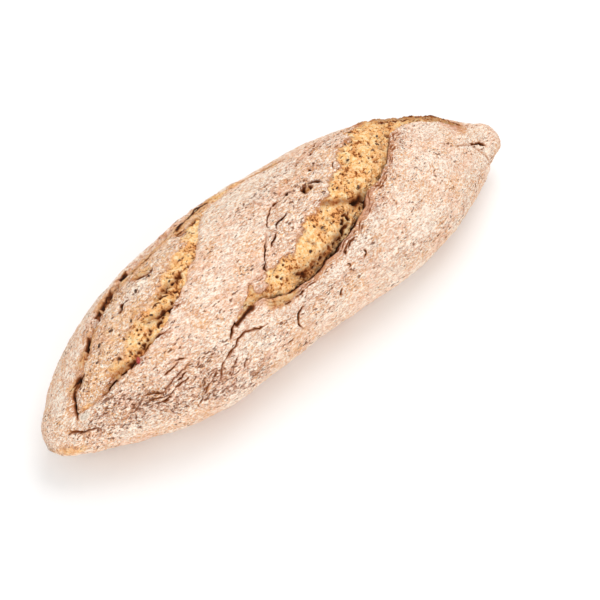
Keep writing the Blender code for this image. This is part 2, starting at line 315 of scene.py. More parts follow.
@dataclass(frozen=True)
class CrustLine:
    """A smooth line on the crust through crust positions."""

    stops: Stops

    def points(self, count: int = 0) -> np.ndarray:
        """Chart points along the line, this many, or as many as its length asks for.

        Args:
            count: how many points, or 0.

        Returns:
            Metres along and metres across, one point to a row.
        """
        corners = FORM.on_chart(self.stops)
        gaps = np.linalg.norm(np.diff(corners, axis=0), axis=1)
        run = np.concatenate([[0], np.cumsum(gaps)])
        at = np.linspace(0, run[-1], count or max(LEAST_SAMPLES, round(run[-1] / LINE_STEP)))
        return np.stack([smooth_curve(run, corners[:, i], at) for i in (0, 1)], axis=-1)

    def measure(
        self, chart: np.ndarray, narrow: np.ndarray, reach: float = LINE_SEARCH
    ) -> tuple[np.ndarray, ...]:
        """Measures how far chart points lie from the line.

        Args:
            chart: the points.
            narrow: how much the loaf's taper shrinks distances across it there.
            reach: points further from the line than this are skipped.

        Returns:
            The distance, the share of the line passed at the nearest point, and the line's
            direction there on the chart.
        """
        line = self.points()
        nearest, along = np.full(len(chart), FAR), np.zeros(len(chart))
        heading = np.tile((1.0, 0.0), (len(chart), 1))
        low, high = line.min(axis=0), line.max(axis=0)
        near = (chart[:, 0] > low[0] - reach) & (chart[:, 0] < high[0] + reach)
        near &= (chart[:, 1] > low[1] - reach / narrow) & (chart[:, 1] < high[1] + reach / narrow)
        picked = np.nonzero(near)[0]
        spot, thin = chart[picked], narrow[picked]
        closest, passed, way = np.full(len(picked), FAR), np.zeros(len(picked)), np.zeros(len(picked), int)
        spans = len(line) - 1
        for i in range(spans):
            run = line[i + 1] - line[i]
            gap = spot - line[i]
            length = run[0] ** 2 + (thin * run[1]) ** 2
            share = np.clip((gap[:, 0] * run[0] + thin**2 * gap[:, 1] * run[1]) / length, 0, 1)
            away = np.hypot(gap[:, 0] - share * run[0], thin * (gap[:, 1] - share * run[1]))
            closer = away < closest
            closest = np.where(closer, away, closest)
            passed = np.where(closer, (i + share) / spans, passed)
            way = np.where(closer, i, way)
        nearest[picked], along[picked] = closest, passed
        heading[picked] = np.diff(line, axis=0)[way]
        return nearest, along, heading


# ---------------------------------------------------------------- relief


@dataclass(frozen=True)
class Survey:
    """How places lie to a slash: distances to its edges, share across, and depth past the edge."""

    to_torn: np.ndarray
    to_seam: np.ndarray
    along: np.ndarray
    heading: np.ndarray
    within: np.ndarray
    share: np.ndarray
    open_by: np.ndarray
    gold: np.ndarray
    bridged: np.ndarray

    @property
    def torn_side(self) -> np.ndarray:
        """Whether each place lies nearer the torn edge than the seam."""
        return self.share > 0.5

    @property
    def to_edge(self) -> np.ndarray:
        """The distance to the nearer of the two edges."""
        return np.minimum(self.to_torn, self.to_seam)

    @property
    def arch(self) -> np.ndarray:
        """1 at the middle of the slash, falling to 0 at its ends in a full curve."""
        return np.sqrt(np.sin(math.pi * self.along))


@dataclass(frozen=True)
class Slash:
    """A slash: its torn edge, which lifts into a lip over a crevice, and its calmer seam."""

    torn_edge: CrustLine
    seam: CrustLine
    gold_limit: CrustLine
    gold_at_torn_edge: bool
    lip: float
    lip_reach: float
    crevice: float
    crevice_reach: float
    overhang: float
    border: float  # how much the lip is browned
    torn_wall: float  # how far in the crust goes on bending down at the torn edge
    torn_bridges: float  # how far crumb bridges the crevice here and there
    seam_depth: float = 0.0014
    seam_reach: float = 0.0018
    seam_roll: float = 0.5
    crumb_bulge: float = 0.0014
    lump_size: float = 0.0085
    lump_height: float = 0.0014
    lump_seed: int = 14
    full_opening: float = 0.0080
    gold_softness: float = 0.0012
    gold_fraying: Stops = ((0.0065, 0.0028), (0.0022, 0.0020))
    gold_seed: int = 36
    bridge_size: float = 0.0050
    bridge_levels: tuple[float, float] = (-0.25, 0.12)  # the noise levels where a bridge begins and is whole
    bridge_seed: int = 35
    limit_browning: float = 0.65  # how brown the golden crumb is along its limit
    skin_bare: float = 0.05  # how much flour the unbroken skin between the edges lacks
    skin_gold: float = 0.05  # how golden that skin is
    gold_bare: float = 0.85  # how much flour the golden crumb lacks
    crevice_end: tuple[float, float] = (0.50, 0.68)  # where the crevice runs out, so far as it does
    crevice_left: float = 1.0  # the share of it that is left there
    border_end: tuple[float, float] = (0.70, 0.80)  # the shares of the slash where the browning runs out

    def survey(self, places: Places) -> Survey:
        """Measures how places lie to the slash.

        Args:
            places: where it is read.

        Returns:
            The distances and shares at each place.
        """
        chart, narrow = places.wandered, places.narrow
        to_torn, along, heading = self.torn_edge.measure(chart, narrow, SLASH_SEARCH)
        to_seam, _, _ = self.seam.measure(chart, narrow, SLASH_SEARCH)
        torn_line, seam_line = self.torn_edge.points(), self.seam.points()
        within = inside(np.concatenate([torn_line, seam_line[::-1]]), chart)
        share = to_seam / np.maximum(to_seam + to_torn, SIDE_STEP)
        open_by = np.clip((to_torn + to_seam) / 2 / self.full_opening, 0, 1)
        side = torn_line if self.gold_at_torn_edge else seam_line
        to_limit, _, _ = self.gold_limit.measure(chart, narrow)
        golden = inside(np.concatenate([side, self.gold_limit.points()[::-1]]), chart)
        fraying = layered_noise(places.point, self.gold_fraying, self.gold_seed)
        gold = eased(np.where(golden, 1, -1) * to_limit + fraying, -self.gold_softness, self.gold_softness)
        bridged = eased(noise_at(places.point, self.bridge_size, self.bridge_seed), *self.bridge_levels)
        bridged *= np.where(share < 0.5, 1, self.torn_bridges)
        return Survey(to_torn, to_seam, along, heading, within, share, open_by, gold, bridged)

    def inward(self, places: Places, survey: Survey) -> np.ndarray:
        """The direction over the crust from the torn edge into the slash.

        Args:
            places: where it is read.
            survey: how the places lie to the slash.

        Returns:
            One direction for each place.
        """
        run, across = survey.heading[:, :1], survey.heading[:, 1:]
        onward = places.along * run + places.round_it * across
        sideways = np.cross(places.outward, onward)
        torn_line, seam_line = self.torn_edge.points(), self.seam.points()
        middle = len(torn_line) // 2
        step = torn_line[middle + 1] - torn_line[middle]
        to_seam = seam_line[len(seam_line) // 2] - torn_line[middle]
        sign = math.copysign(1.0, step[0] * to_seam[1] - step[1] * to_seam[0])
        return sign * sideways / np.maximum(np.linalg.norm(sideways, axis=-1, keepdims=True), LEAST_LENGTH)

    def gaping(self, survey: Survey) -> np.ndarray:
        """The share of the crevice and of the overhang that is left at each place along the slash."""
        return 1 - (1 - self.crevice_left) * eased(survey.along, *self.crevice_end)

    def crust_height(self, survey: Survey) -> np.ndarray:
        """Height of the crust beside the slash: the lip, and the roll down to the seam.

        Args:
            survey: how the places lie to the slash.

        Returns:
            The height at each place.
        """
        lip = np.where(survey.torn_side, self.lip * survey.arch * fading(survey.to_torn, self.lip_reach), 0)
        roll = self.seam_roll * self.seam_depth * (1 - survey.bridged)
        return lip - roll * fading(survey.to_seam, self.seam_reach, CRACK_RIM)

    def crumb_height(self, places: Places, survey: Survey) -> np.ndarray:
        """Height of the crumb between the edges, before its own grain.

        Args:
            places: where it is read.
            survey: how the places lie to the slash.

        Returns:
            The height at each place.
        """
        lumps = self.lump_height * noise_at(places.point, self.lump_size, self.lump_seed)
        crumb = np.sin(math.pi * survey.share) * (self.crumb_bulge + lumps)
        spared = np.where(survey.torn_side, 1 - survey.bridged, 1) * self.gaping(survey)
        crevice = self.crevice * spared * fading(survey.to_torn, self.crevice_reach, CREVICE_RIM)
        seam_dip = self.seam_depth * (1 - survey.bridged)
        seam_dip = seam_dip * fading(survey.to_seam, self.seam_reach / 2, CRACK_RIM)
        return survey.open_by * (crumb - crevice - seam_dip)


MIDDLE_SLASH = Slash(  # its torn edge is the ear, over the front and the crown
    torn_edge=CrustLine((
        (-0.0555, -47), (-0.047, -44.5), (-0.0385, -43), (-0.0345, -47), (-0.027, -50), (-0.017, -51),
        (-0.008, -49.5), (0.001, -47.5), (0.010, -45.5), (0.021, -42), (0.029, -37.5), (0.038, -30.5),
        (0.055, -20), (0.068, -8), (0.078, 3), (0.092, 10), (0.106, 10), (0.118, 4), (0.130, -9),
    )),
    seam=CrustLine((
        (-0.0555, -47), (-0.0480, -38.5), (-0.0425, -35), (-0.037, -31.5), (-0.030, -32), (-0.025, -26),
        (-0.020, -19), (-0.012, -9), (0.000, 2), (0.014, 14), (0.030, 22), (0.044, 27), (0.056, 35),
        (0.070, 43), (0.086, 49), (0.102, 48), (0.116, 38), (0.126, 18), (0.130, -9),
    )),
    gold_limit=CrustLine((
        (-0.0555, -47), (-0.0480, -38.5), (-0.0425, -35.5), (-0.0372, -32), (-0.0375, -39), (-0.0325, -38.5),
        (-0.0275, -33.5), (-0.018, -32), (-0.010, -30), (-0.004, -24), (0.003, -20), (0.012, -19),
        (0.020, -17), (0.026, -11), (0.034, -5), (0.042, 3), (0.050, 9), (0.058, 16), (0.066, 24),
        (0.074, 32), (0.084, 44), (0.100, 49), (0.116, 39), (0.126, 18), (0.130, -9),
    )),
    gold_at_torn_edge=True,
    lip=0.0032, lip_reach=0.0060, crevice=0.0027, crevice_reach=0.0042, overhang=0.0011, border=0.52,
    torn_wall=0.0036, torn_bridges=0.45, crevice_left=0.25,
)
LEFT_SLASH = Slash(  # torn along its back edge
    torn_edge=CrustLine((
        (-0.138, -22), (-0.136, -8), (-0.132, 1), (-0.125, 9), (-0.117, 20), (-0.106, 30),
        (-0.092, 37), (-0.076, 44), (-0.058, 48), (-0.040, 52), (-0.020, 58), (-0.004, 61),
        (0.008, 57),
    )),
    seam=CrustLine((
        (-0.138, -22), (-0.124, -28), (-0.112, -26), (-0.100, -23), (-0.088, -18), (-0.076, -11),
        (-0.062, -3), (-0.050, 7), (-0.040, 17), (-0.030, 32), (-0.018, 42), (-0.004, 49),
        (0.008, 57),
    )),
    gold_limit=CrustLine((
        (-0.138, -22), (-0.126, -23), (-0.113, -17), (-0.104, -9), (-0.095, -1), (-0.084, 4),
        (-0.070, 9), (-0.060, 14), (-0.050, 22), (-0.040, 31), (-0.028, 39), (-0.014, 47), (0.008, 57),
    )),
    gold_at_torn_edge=False,
    lip=0.0022, lip_reach=0.0050, crevice=0.0030, crevice_reach=0.0015, overhang=0.0004, border=0.10,
    torn_wall=0.0012, torn_bridges=0.8, skin_bare=0.11, skin_gold=0.38, gold_bare=0.66,
    limit_browning=0.12, gold_softness=0.0032, gold_fraying=((0.0070, 0.0040), (0.0022, 0.0026)),
)
SLASHES = (MIDDLE_SLASH, LEFT_SLASH)


@dataclass(frozen=True)
class Crack:
    """A crack or fold in the crust: how deep and wide it is, how dark its painted shade is, and whether it is
    broken up.
    """

    depth: float
    reach: float
    dark: float
    stops: Stops
    broken: bool = False


@dataclass(frozen=True)
class Bump:
    """A round rise in the crust, such as a gas blister or a pinched end, or a hollow if negative."""

    x: float
    degrees: float
    radius: float
    height: float
    long: float = 1.0  # how much longer it is along the loaf than across


@dataclass(frozen=True)
class Stroke:
    """A painted line or spot: how strong it is, how wide, and where."""

    strength: float
    reach: float
    stops: Stops


TENTHS = 10000  # of a millimetre in a metre
LENGTHS = {"x", "depth", "reach", "radius", "height", "length"}  # the fields that marks give in tenths


def marks(kind: type, rows: tuple[tuple, ...]) -> tuple:
    """Makes marks on the loaf from rows of values.

    Args:
        kind: the class of the marks.
        rows: the fields of each mark, with lengths, and places along X, in tenths of a millimetre.

    Returns:
        The marks, in metres.
    """
    made = []
    for row in rows:
        values = dict(zip(kind.__dataclass_fields__, row))
        for name in LENGTHS & values.keys():
            values[name] /= TENTHS
        if "stops" in values:
            values["stops"] = tuple((along / TENTHS, degrees) for along, degrees in values["stops"])
        made.append(kind(**values))
    return tuple(made)


CRACKS = marks(Crack, (
    (15, 18, 0.6, ((-440, -57), (-520, -53), (-580, -53), (-660, -58), (-730, -65), (-750, -75))),
    (24, 22, 0.95, ((-500, -42), (-570, -46), (-620, -50))),
    (16, 16, 0.95, ((-200, -63), (-250, -64), (-270, -68), (-250, -74))),
    (20, 20, 0.55, ((-1440, -30), (-1400, -50), (-1340, -58), (-1330, -68))),
    (30, 24, 0.25, ((1130, -27), (1210, -30), (1280, -42), (1330, -62), (1360, -90), (1390, -115))),
    (12, 16, 0.5, ((-1030, -56), (-920, -50), (-840, -47))),
    (12, 16, 0.6, ((-860, -73), (-800, -68), (-745, -62.5))),
))
# Fine cracks that are too narrow for the plain solid
FINE_CRACKS = marks(Crack, (
    # the far side of the middle slash
    (12, 12, 1.0, ((-276, -34), (-246, -26), (-204, -20.5), (-170, -15)), True),
    (12, 12, 1.0, ((-166, -21), (-144, -19), (-104, -16)), True),
    (10, 10, 1.0, ((-136, -10), (-100, -5), (-69, -2), (-11, 3), (41, 1)), True),
    (18, 26, 1.0, ((-84, -13), (-55, -10), (-20, -10), (14, -8))),
    (26, 34, 1.0, ((82, 2), (95, 4), (115, 5.5))),
    (14, 20, 1.0, ((165, 20), (185, 21), (205, 21))),
    (14, 16, 1.0, ((265, 20), (306, 21.5))),
    (14, 18, 1.0, ((372, 24), (409, 26))),
    (14, 18, 1.0, ((340, 13.0), (352, 14.5))),
    (12, 14, 1.0, ((285, 9), (305, 9.5))),
    (12, 12, 0.9, ((370, 1), (385, 4), (410, 5))),
    (12, 14, 0.9, ((495, 27), (540, 28.5))),
    (14, 18, 1.0, ((386, 31), (429, 32), (468, 33), (508, 34)), True),
    (14, 16, 1.0, ((600, 42), (629, 43.7), (650, 44))),
    (16, 24, 1.0, ((90, 4.6), (112, 5.6), (123, 2.5))),
    # the burst blister
    (34, 44, 1.0, ((160, -6.2), (158, -4.2), (176, -1.4), (208, 1.0))),
    (32, 46, 1.0, ((210, 1.6), (238, 2.2), (256, 0.4), (258, -3.0), (250, -7.0))),
    (24, 26, 0.9, ((222, 0.4), (214, -2.4), (198, -5.2))),
    # the far side of the left slash
    (20, 30, 1.0, ((-1384, -27), (-1372, -15), (-1352, -5), (-1318, 3), (-1262, 8))),
    (18, 28, 1.0, ((-1235, 4), (-1270, 8), (-1310, 9))),
    (24, 42, 1.0, ((-1215, 16), (-1170, 20), (-1130, 24), (-1095, 29)), True),
    (20, 34, 1.0, ((-1060, 31), (-990, 34), (-920, 37.5), (-850, 41)), True),
    (16, 28, 1.0, ((-804, 42.5), (-777, 43.5), (-738, 44.5)), True),
    (20, 30, 1.0, ((-545, 40.5), (-600, 39.5), (-655, 37.5), (-690, 37.5))),
    (22, 36, 1.0, ((-700, 40), (-735, 38.5), (-770, 37), (-800, 36)), True),
    (20, 32, 1.0, ((-805, 39), (-845, 38.5), (-885, 37.5), (-925, 36.5)), True),
    (14, 16, 1.0, ((-435, 36.5), (-405, 34.5), (-378, 33.5))),
    (22, 30, 1.0, ((-768, 25.5), (-742, 22.5), (-706, 21.5), (-668, 23.5))),
    (14, 20, 1.0, ((-740, -3.5), (-761, -1.7), (-784, 1.0))),
    (12, 14, 0.9, ((-715, -3.5), (-695, -4.0), (-675, -4.2))),
    (12, 14, 0.9, ((-846, -1.5), (-817, -0.3), (-790, -3.3))),
    # the right end
    (22, 30, 1.0, ((1290, -34), (1325, -37), (1352, -46))),
    (10, 10, 0.8, ((1240, -30), (1275, -33), (1300, -36))),
    (12, 14, 0.9, ((1330, 12), (1350, 6), (1362, -4)), True),
    # marks on the front
    (6, 8, 0.9, ((-941, -38.5), (-885, -40.5), (-840, -45.0)), True),
    (6, 8, 0.9, ((-912, -88), (-863, -79), (-811, -70)), True),
    (6, 8, 0.9, ((-1108, -51), (-1071, -52), (-1014, -56)), True),
    (6, 8, 0.9, ((-1092, -58), (-1066, -57.5), (-1035, -59.5))),
    (6, 8, 0.9, ((-1065, -63), (-1028, -62.3), (-985, -61))),
    (14, 24, 1.0, ((228, -55), (238, -57.5), (215, -59))),
    (12, 14, 1.0, ((115, -54), (135, -56), (120, -58))),
    (12, 16, 1.0, ((50, -70), (36, -72), (34, -75))),
    (12, 14, 0.9, ((775, -85), (790, -83), (810, -82))),
    (5, 8, 0.5, ((840, -36), (858, -33), (862, -29)), True),
    # elsewhere
    (9, 9, 0.9, ((-950, -54), (-910, -53), (-880, -51))),
    (6, 8, 0.8, ((-1000, -44.5), (-955, -44.1), (-917, -43.5), (-885, -41.5)), True),
    (9, 10, 0.7, ((-700, -73), (-660, -68), (-630, -62)), True),
    (9, 10, 0.7, ((-630, -76), (-590, -70), (-570, -65)), True),
    (6, 8, 0.8, ((-830, -56), (-790, -53), (-740, -53)), True),
    (7, 8, 0.7, ((-500, -52), (-460, -56), (-410, -58))),
    (9, 9, 0.9, ((-1180, -40), (-1160, -46), (-1140, -50)), True),
    (9, 9, 0.8, ((-380, -78), (-340, -79), (-300, -78)), True),
    (8, 8, 0.7, ((-1020, -62), (-940, -57), (-860, -55)), True),
    (12, 14, 1.0, ((-300, -53.5), (-200, -54.5), (-100, -53)), True),
    (10, 12, 0.9, ((80, -50.5), (160, -48), (230, -45)), True),
    (16, 14, 1.0, ((-1240, -28), (-1190, -26), (-1120, -25), (-1040, -26)), True),
    (12, 12, 1.0, ((-1000, -22), (-940, -19.5), (-850, -20)), True),
    (14, 14, 1.0, ((-890, -8), (-800, -11), (-700, -12)), True),
    (12, 12, 1.0, ((-790, 0), (-710, 1), (-610, 3)), True),
    (6, 10, 0.3, ((-590, -8), (-520, -5), (-460, 1)), True),
    (16, 24, 1.0, ((-950, 15.5), (-925, 16.6), (-898, 18.4), (-872, 17.0))),
    (12, 12, 1.0, ((-470, 36), (-430, 34), (-400, 31))),
    (10, 10, 0.9, ((-360, 33), (-320, 33), (-280, 35))),
    (5, 8, 0.35, ((500, -44), (540, -38), (560, -33)), True),
))
BUMPS = marks(Bump, (
    (215, -9.5, 55, 32), (186, -3.4, 21, -24), (75, -3, 45, 18), (20, -6, 40, 12),
    (-240, -69, 60, 14), (120, -57, 60, 12), (240, -60, 50, 10), (20, -59, 45, 10),
    (-1490, -10, 150, 20), (1500, -30, 110, 42),
))
# Hollows in the crumb, where large bubbles tore open
HOLLOWS = marks(Bump, (
    (330, -25.5, 20, -36, 1.8), (385, -28.0, 14, -26), (230, -29.0, 14, -26, 1.3),
    (262, -29.5, 10, -18), (206, -32.6, 12, -28), (247, -32.0, 16, -30), (217, -36.1, 12, -24, 1.5),
    (192, -38.0, 17, -30), (-150, -42.5, 13, -24, 1.5), (-120, -45.0, 18, -28, 1.4),
    (-60, -43.5, 14, -24, 1.6), (10, -43.0, 17, -26, 1.5), (46, -41.5, 10, -18),
    (78, -40.9, 13, -22, 1.4), (118, -40.5, 16, -26), (155, -41.0, 12, -20, 1.4),
    (450, 1.0, 12, -18, 1.6), (560, 14.0, 10, -14, 1.4), (640, 4.0, 10, -14, 1.8),
    (-1100, -12.0, 13, -22), (410, -20.0, 11, -20, 1.8), (-531, 4.5, 12, -20, 1.4),
    (-590, 5.0, 10, -18), (-621, 3.3, 14, -24, 1.4), (-655, 1.5, 13, -22),
    (-700, -8.5, 18, -28, 1.6), (-745, -8.0, 13, -24), (-823, -9.5, 16, -26, 1.3),
    (-865, -12.5, 18, -28), (-911, -12.6, 14, -24), (-940, -15.5, 13, -24, 1.3),
    (-972, -18.0, 16, -26), (-1010, -19.5, 13, -22), (-1035, -15.0, 11, -20),
    (-1080, -22.5, 18, -26, 1.7), (-780, 0.5, 10, -16, 1.6), (-728, 1.2, 12, -18, 1.6),
    (-930, 17.0, 14, -20, 1.9),
))
# Lines that carry several paints, and then all painted lines by what they paint
TOP_BAND = ((780, 38), (920, 34), (1040, 30), (1160, 20), (1240, 6))
BAND_CRACK = ((840, 25), (906, 25), (955, 25), (1015, 24))
BAND_END_CRACK = ((1040, 29.5), (1140, 25.5), (1200, 18), (1240, 12), (1265, 5))
FAR_RIDGE = ((0, 46), (60, 46), (110, 46.5), (181, 43.5), (261, 41.0))
BLISTER = ((178, -4), (196, -3))
LEFT_FOLD = ((-770, 28), (-735, 25.5), (-690, 25.0))
LEFT_FAR_EDGE = ((-480, 42), (-560, 40), (-660, 38), (-800, 38), (-960, 35.5))
LEFT_TOP_BAND = ((-420, 37), (-340, 42), (-240, 47), (-110, 51.5))
BETWEEN_BANDS = ((-200, 48.5), (-128, 50.5), (-45, 51), (0, 46))
STROKES = {
    # Painted shade: in a large hollow, along the crevice at the ear's left end and along the dark lines of
    # both top bands
    Paint.PAINTED_SHADE: marks(Stroke, (
        (0.8, 18, ((320, -27), (380, -26))),
        (0.8, 12, ((-550, -46.5), (-515, -45), (-480, -43.5), (-450, -43))),
        (0.75, 10, BAND_CRACK),
        (0.7, 10, BAND_END_CRACK),
        (0.95, 15, ((-410, 38.5), (-330, 43), (-230, 47.5), (-170, 49.5))),
    )),
    Paint.BAKED_AND_SHADE: marks(Stroke, (
        # along the middle slash
        (0.9, 16, ((150, -15), (200, -18), (250, -20), (300, -22), (340, -24))),
        (0.9, 30, ((300, -27), (390, -26))),
        (0.6, 40, ((-160, -43), (-50, -44), (60, -43), (160, -39))),
        (0.35, 30, ((-500, -43), (-430, -39), (-380, -37), (-330, -41))),
        (0.5, 18, ((-360, -49), (-280, -52), (-180, -52), (-80, -52))),
        (0.74, 60, TOP_BAND),
        (0.9, 12, ((760, 33), (860, 37), (960, 37), (1080, 31), (1180, 20))),
        (1.0, 18, BAND_CRACK),
        (1.0, 18, BAND_END_CRACK),
        # along the far ridge, where the left slash runs out
        (0.9, 11, ((60, 46), (110, 46.5), (181, 43.5), (261, 41.0), (310, 38.6))),
        (0.7, 10, ((620, 22), (690, 27), (760, 33))),
        (0.22, 80, ((-260, -60), (-80, -59), (100, -55), (280, -47), (440, -37))),
        # the burst blister
        (0.45, 20, BLISTER),
        # along the left slash
        (0.8, 22, ((-1240, -27), (-1180, -23), (-1100, -22), (-1020, -25))),
        (0.7, 16, ((-1010, -20), (-950, -19), (-860, -21))),
        (0.7, 18, ((-900, -8), (-800, -11), (-700, -12))),
        (0.6, 14, ((-800, 1), (-720, 1), (-610, 3))),
        (0.5, 24, ((-1370, -14), (-1340, -4), (-1320, 2), (-1270, 8))),
        (0.4, 20, ((-1240, 13), (-1140, 21), (-1040, 27), (-940, 32))),
        (0.5, 20, ((-770, 27), (-735, 24.5), (-690, 23.5))),
        (0.3, 24, LEFT_FAR_EDGE),
        (0.8, 12, ((-470, 36), (-400, 31))),
        (0.8, 12, ((-360, 33), (-280, 35))),
        (0.35, 34, LEFT_TOP_BAND),
    )),
    Paint.BARE: marks(Stroke, (
        (0.9, 60, TOP_BAND),
        (0.9, 13, FAR_RIDGE),
        (1.0, 22, BLISTER),
        (0.8, 26, LEFT_FOLD),
        (0.8, 26, LEFT_FAR_EDGE),
        (0.9, 34, LEFT_TOP_BAND),
        (0.9, 22, BETWEEN_BANDS),
    )),
    Paint.GOLD: marks(Stroke, (
        (1.0, 24, ((-360, -48), (-300, -51), (-220, -51))),
        (0.9, 15, FAR_RIDGE),
        (1.0, 24, BLISTER),
        (1.0, 28, ((-1315, 6), (-1285, 5))),
        (0.8, 24, ((-1220, 14), (-1130, 20), (-1060, 25))),
        (0.9, 26, LEFT_FOLD),
        (0.9, 20, ((-470, 41), (-505, 41.5), (-540, 40))),
        (0.8, 22, LEFT_FAR_EDGE),
        (1.0, 34, LEFT_TOP_BAND),
        (0.9, 24, BETWEEN_BANDS),
        (0.9, 30, ((-140, 46), (-60, 48), (40, 50))),
        (0.7, 30, ((-1465, -78), (-1440, -84))),
    )),
    Paint.FLAKED: marks(Stroke, (
        (0.7, 150, ((-1280, -50), (-1050, -62), (-800, -74), (-580, -84))),
        (0.42, 120, ((-1120, -36), (-900, -46), (-660, -56))),
        (0.36, 120, ((-600, -62), (-300, -68), (0, -66), (260, -58))),
        (0.35, 120, ((300, -70), (600, -76), (900, -80), (1160, -72))),
        (0.45, 100, ((-1320, -10), (-1120, 8), (-920, 20), (-620, 26))),
        (0.45, 100, ((-160, 6), (60, 18), (300, 24), (520, 30))),
        (0.45, 80, ((-100, -18), (60, -10), (220, 2), (400, 12))),
        (0.5, 60, ((240, -46), (460, -30), (620, -18), (760, -4), (920, 6))),
    )),
}


@dataclass(frozen=True)
class Grain:
    """A grain or crumb that sits in the bread: its place, and how long and how turned it is."""

    x: float
    degrees: float
    length: float
    turn: float


GRAINS = marks(Grain, (
    (-1110, 8, 26, 20), (-1030, 9, 24, -30), (-820, 16, 26, 50), (-1100, -12, 22, 10),
    (-1020, -4, 18, 80), (-940, 2, 18, 35), (-1170, 0, 18, -15), (-720, 18, 20, 70),
    (-560, 12, 18, 15), (-860, -6, 20, -40), (-680, 4, 18, 25), (400, -19, 24, 60),
    (475, 0.5, 22, 10), (620, -2, 20, -25), (720, 8, 22, 40), (100, -28, 20, 0), (-40, -36, 20, 65),
    (-240, -39, 18, -20), (540, 12, 18, 85), (640, 22, 20, -50), (300, -13, 18, 30),
    (680, 2, 24, -60),
))
RED_GRAINS = marks(Grain, ((-1036, -23.5, 36, 60),))
PALE_GRAINS = marks(Grain, ((-1350, -31.5, 52, 5),))


@dataclass(frozen=True)
class Crumpling:
    """The unevenness of the hand-shaped crust: lumps, wrinkles and a dry, flaky grain."""

    lumps: Stops = ((0.050, 0.0016), (0.020, 0.0008), (0.009, 0.0004))
    wrinkle_size: float = 0.0060
    wrinkle_height: float = 0.0007
    wrinkle_stretch: float = 3.0
    wrinkle_seed: int = 9
    wrinkled_place: tuple[float, float] = (-0.085, -0.042)
    wrinkled_reach: tuple[float, float] = (0.045, 0.020)
    least_wrinkled: float = 0.45
    flake_sizes: Stops = ((0.0042, 0.00024), (0.0021, 0.00020))
    flake_slant: float = 0.35
    flake_stretch: float = 1.9
    flake_seed: int = 21
    gap_sizes: tuple[float, float] = (0.0060, 0.0032)
    gap_half_width: float = 0.09
    gap_depth: float = 0.0009
    gap_seed: int = 25
    broken_size: float = 0.0045
    broken_levels: tuple[float, float] = (-0.25, 0.15)  # the noise levels where gaps begin and are whole

    def lump_height(self, places: Places) -> np.ndarray:
        """Height of the lumps and of the wrinkles on the lower left of the front.

        Args:
            places: where it is read.

        Returns:
            The height at each place.
        """
        height = layered_noise(places.point, self.lumps, 0)
        along, across = places.chart.T
        slanted = np.stack([along - across, self.wrinkle_stretch * (along + across), 0 * along], axis=-1)
        wrinkled = self.wrinkle_height * noise_at(slanted, self.wrinkle_size, self.wrinkle_seed)
        patch = np.ones(len(along))
        for place, middle, reach in zip((along, across), self.wrinkled_place, self.wrinkled_reach):
            patch *= fading(np.abs(place - middle), reach, PATCH_RIM)
        return height + wrinkled * (self.least_wrinkled + (1 - self.least_wrinkled) * patch)

    def slanted(self, places: Places) -> np.ndarray:
        """Places read so that noise there is longer slantwise along the loaf, as its flakes lie.

        Args:
            places: where it is read.

        Returns:
            The moved places, one to a row.
        """
        turned = places.point @ np.array(((1, self.flake_slant, 0), (-self.flake_slant, 1, 0), (0, 0, 1))).T
        turned[:, 0] /= self.flake_stretch
        return turned

    def flake_height(self, places: Places) -> np.ndarray:
        """Height of the fine flaky grain.

        Args:
            places: where it is read.

        Returns:
            The height at each place.
        """
        slanted = self.slanted(places)
        height = np.zeros(len(slanted))
        for step, (size, rise) in enumerate(self.flake_sizes):
            height += rise * (1 - 3 * np.abs(noise_at(slanted, size, self.flake_seed + step)))
        return height

    def flake_gaps(self, places: Places) -> np.ndarray:
        """How far each place lies in a winding gap between flakes of skin, from 0 to 1.

        Args:
            places: where it is read.

        Returns:
            The share at each place.
        """
        slanted = self.slanted(places)
        gaps = np.zeros(len(slanted))
        for step, size in enumerate(self.gap_sizes):
            away = np.abs(noise_at(slanted, size, self.gap_seed + step))
            gaps = np.maximum(gaps, 1 - np.clip(away / self.gap_half_width, 0, 1))
        broken = noise_at(slanted, self.broken_size, self.gap_seed + len(self.gap_sizes))
        return gaps * eased(broken, *self.broken_levels)


CRUMPLING = Crumpling()


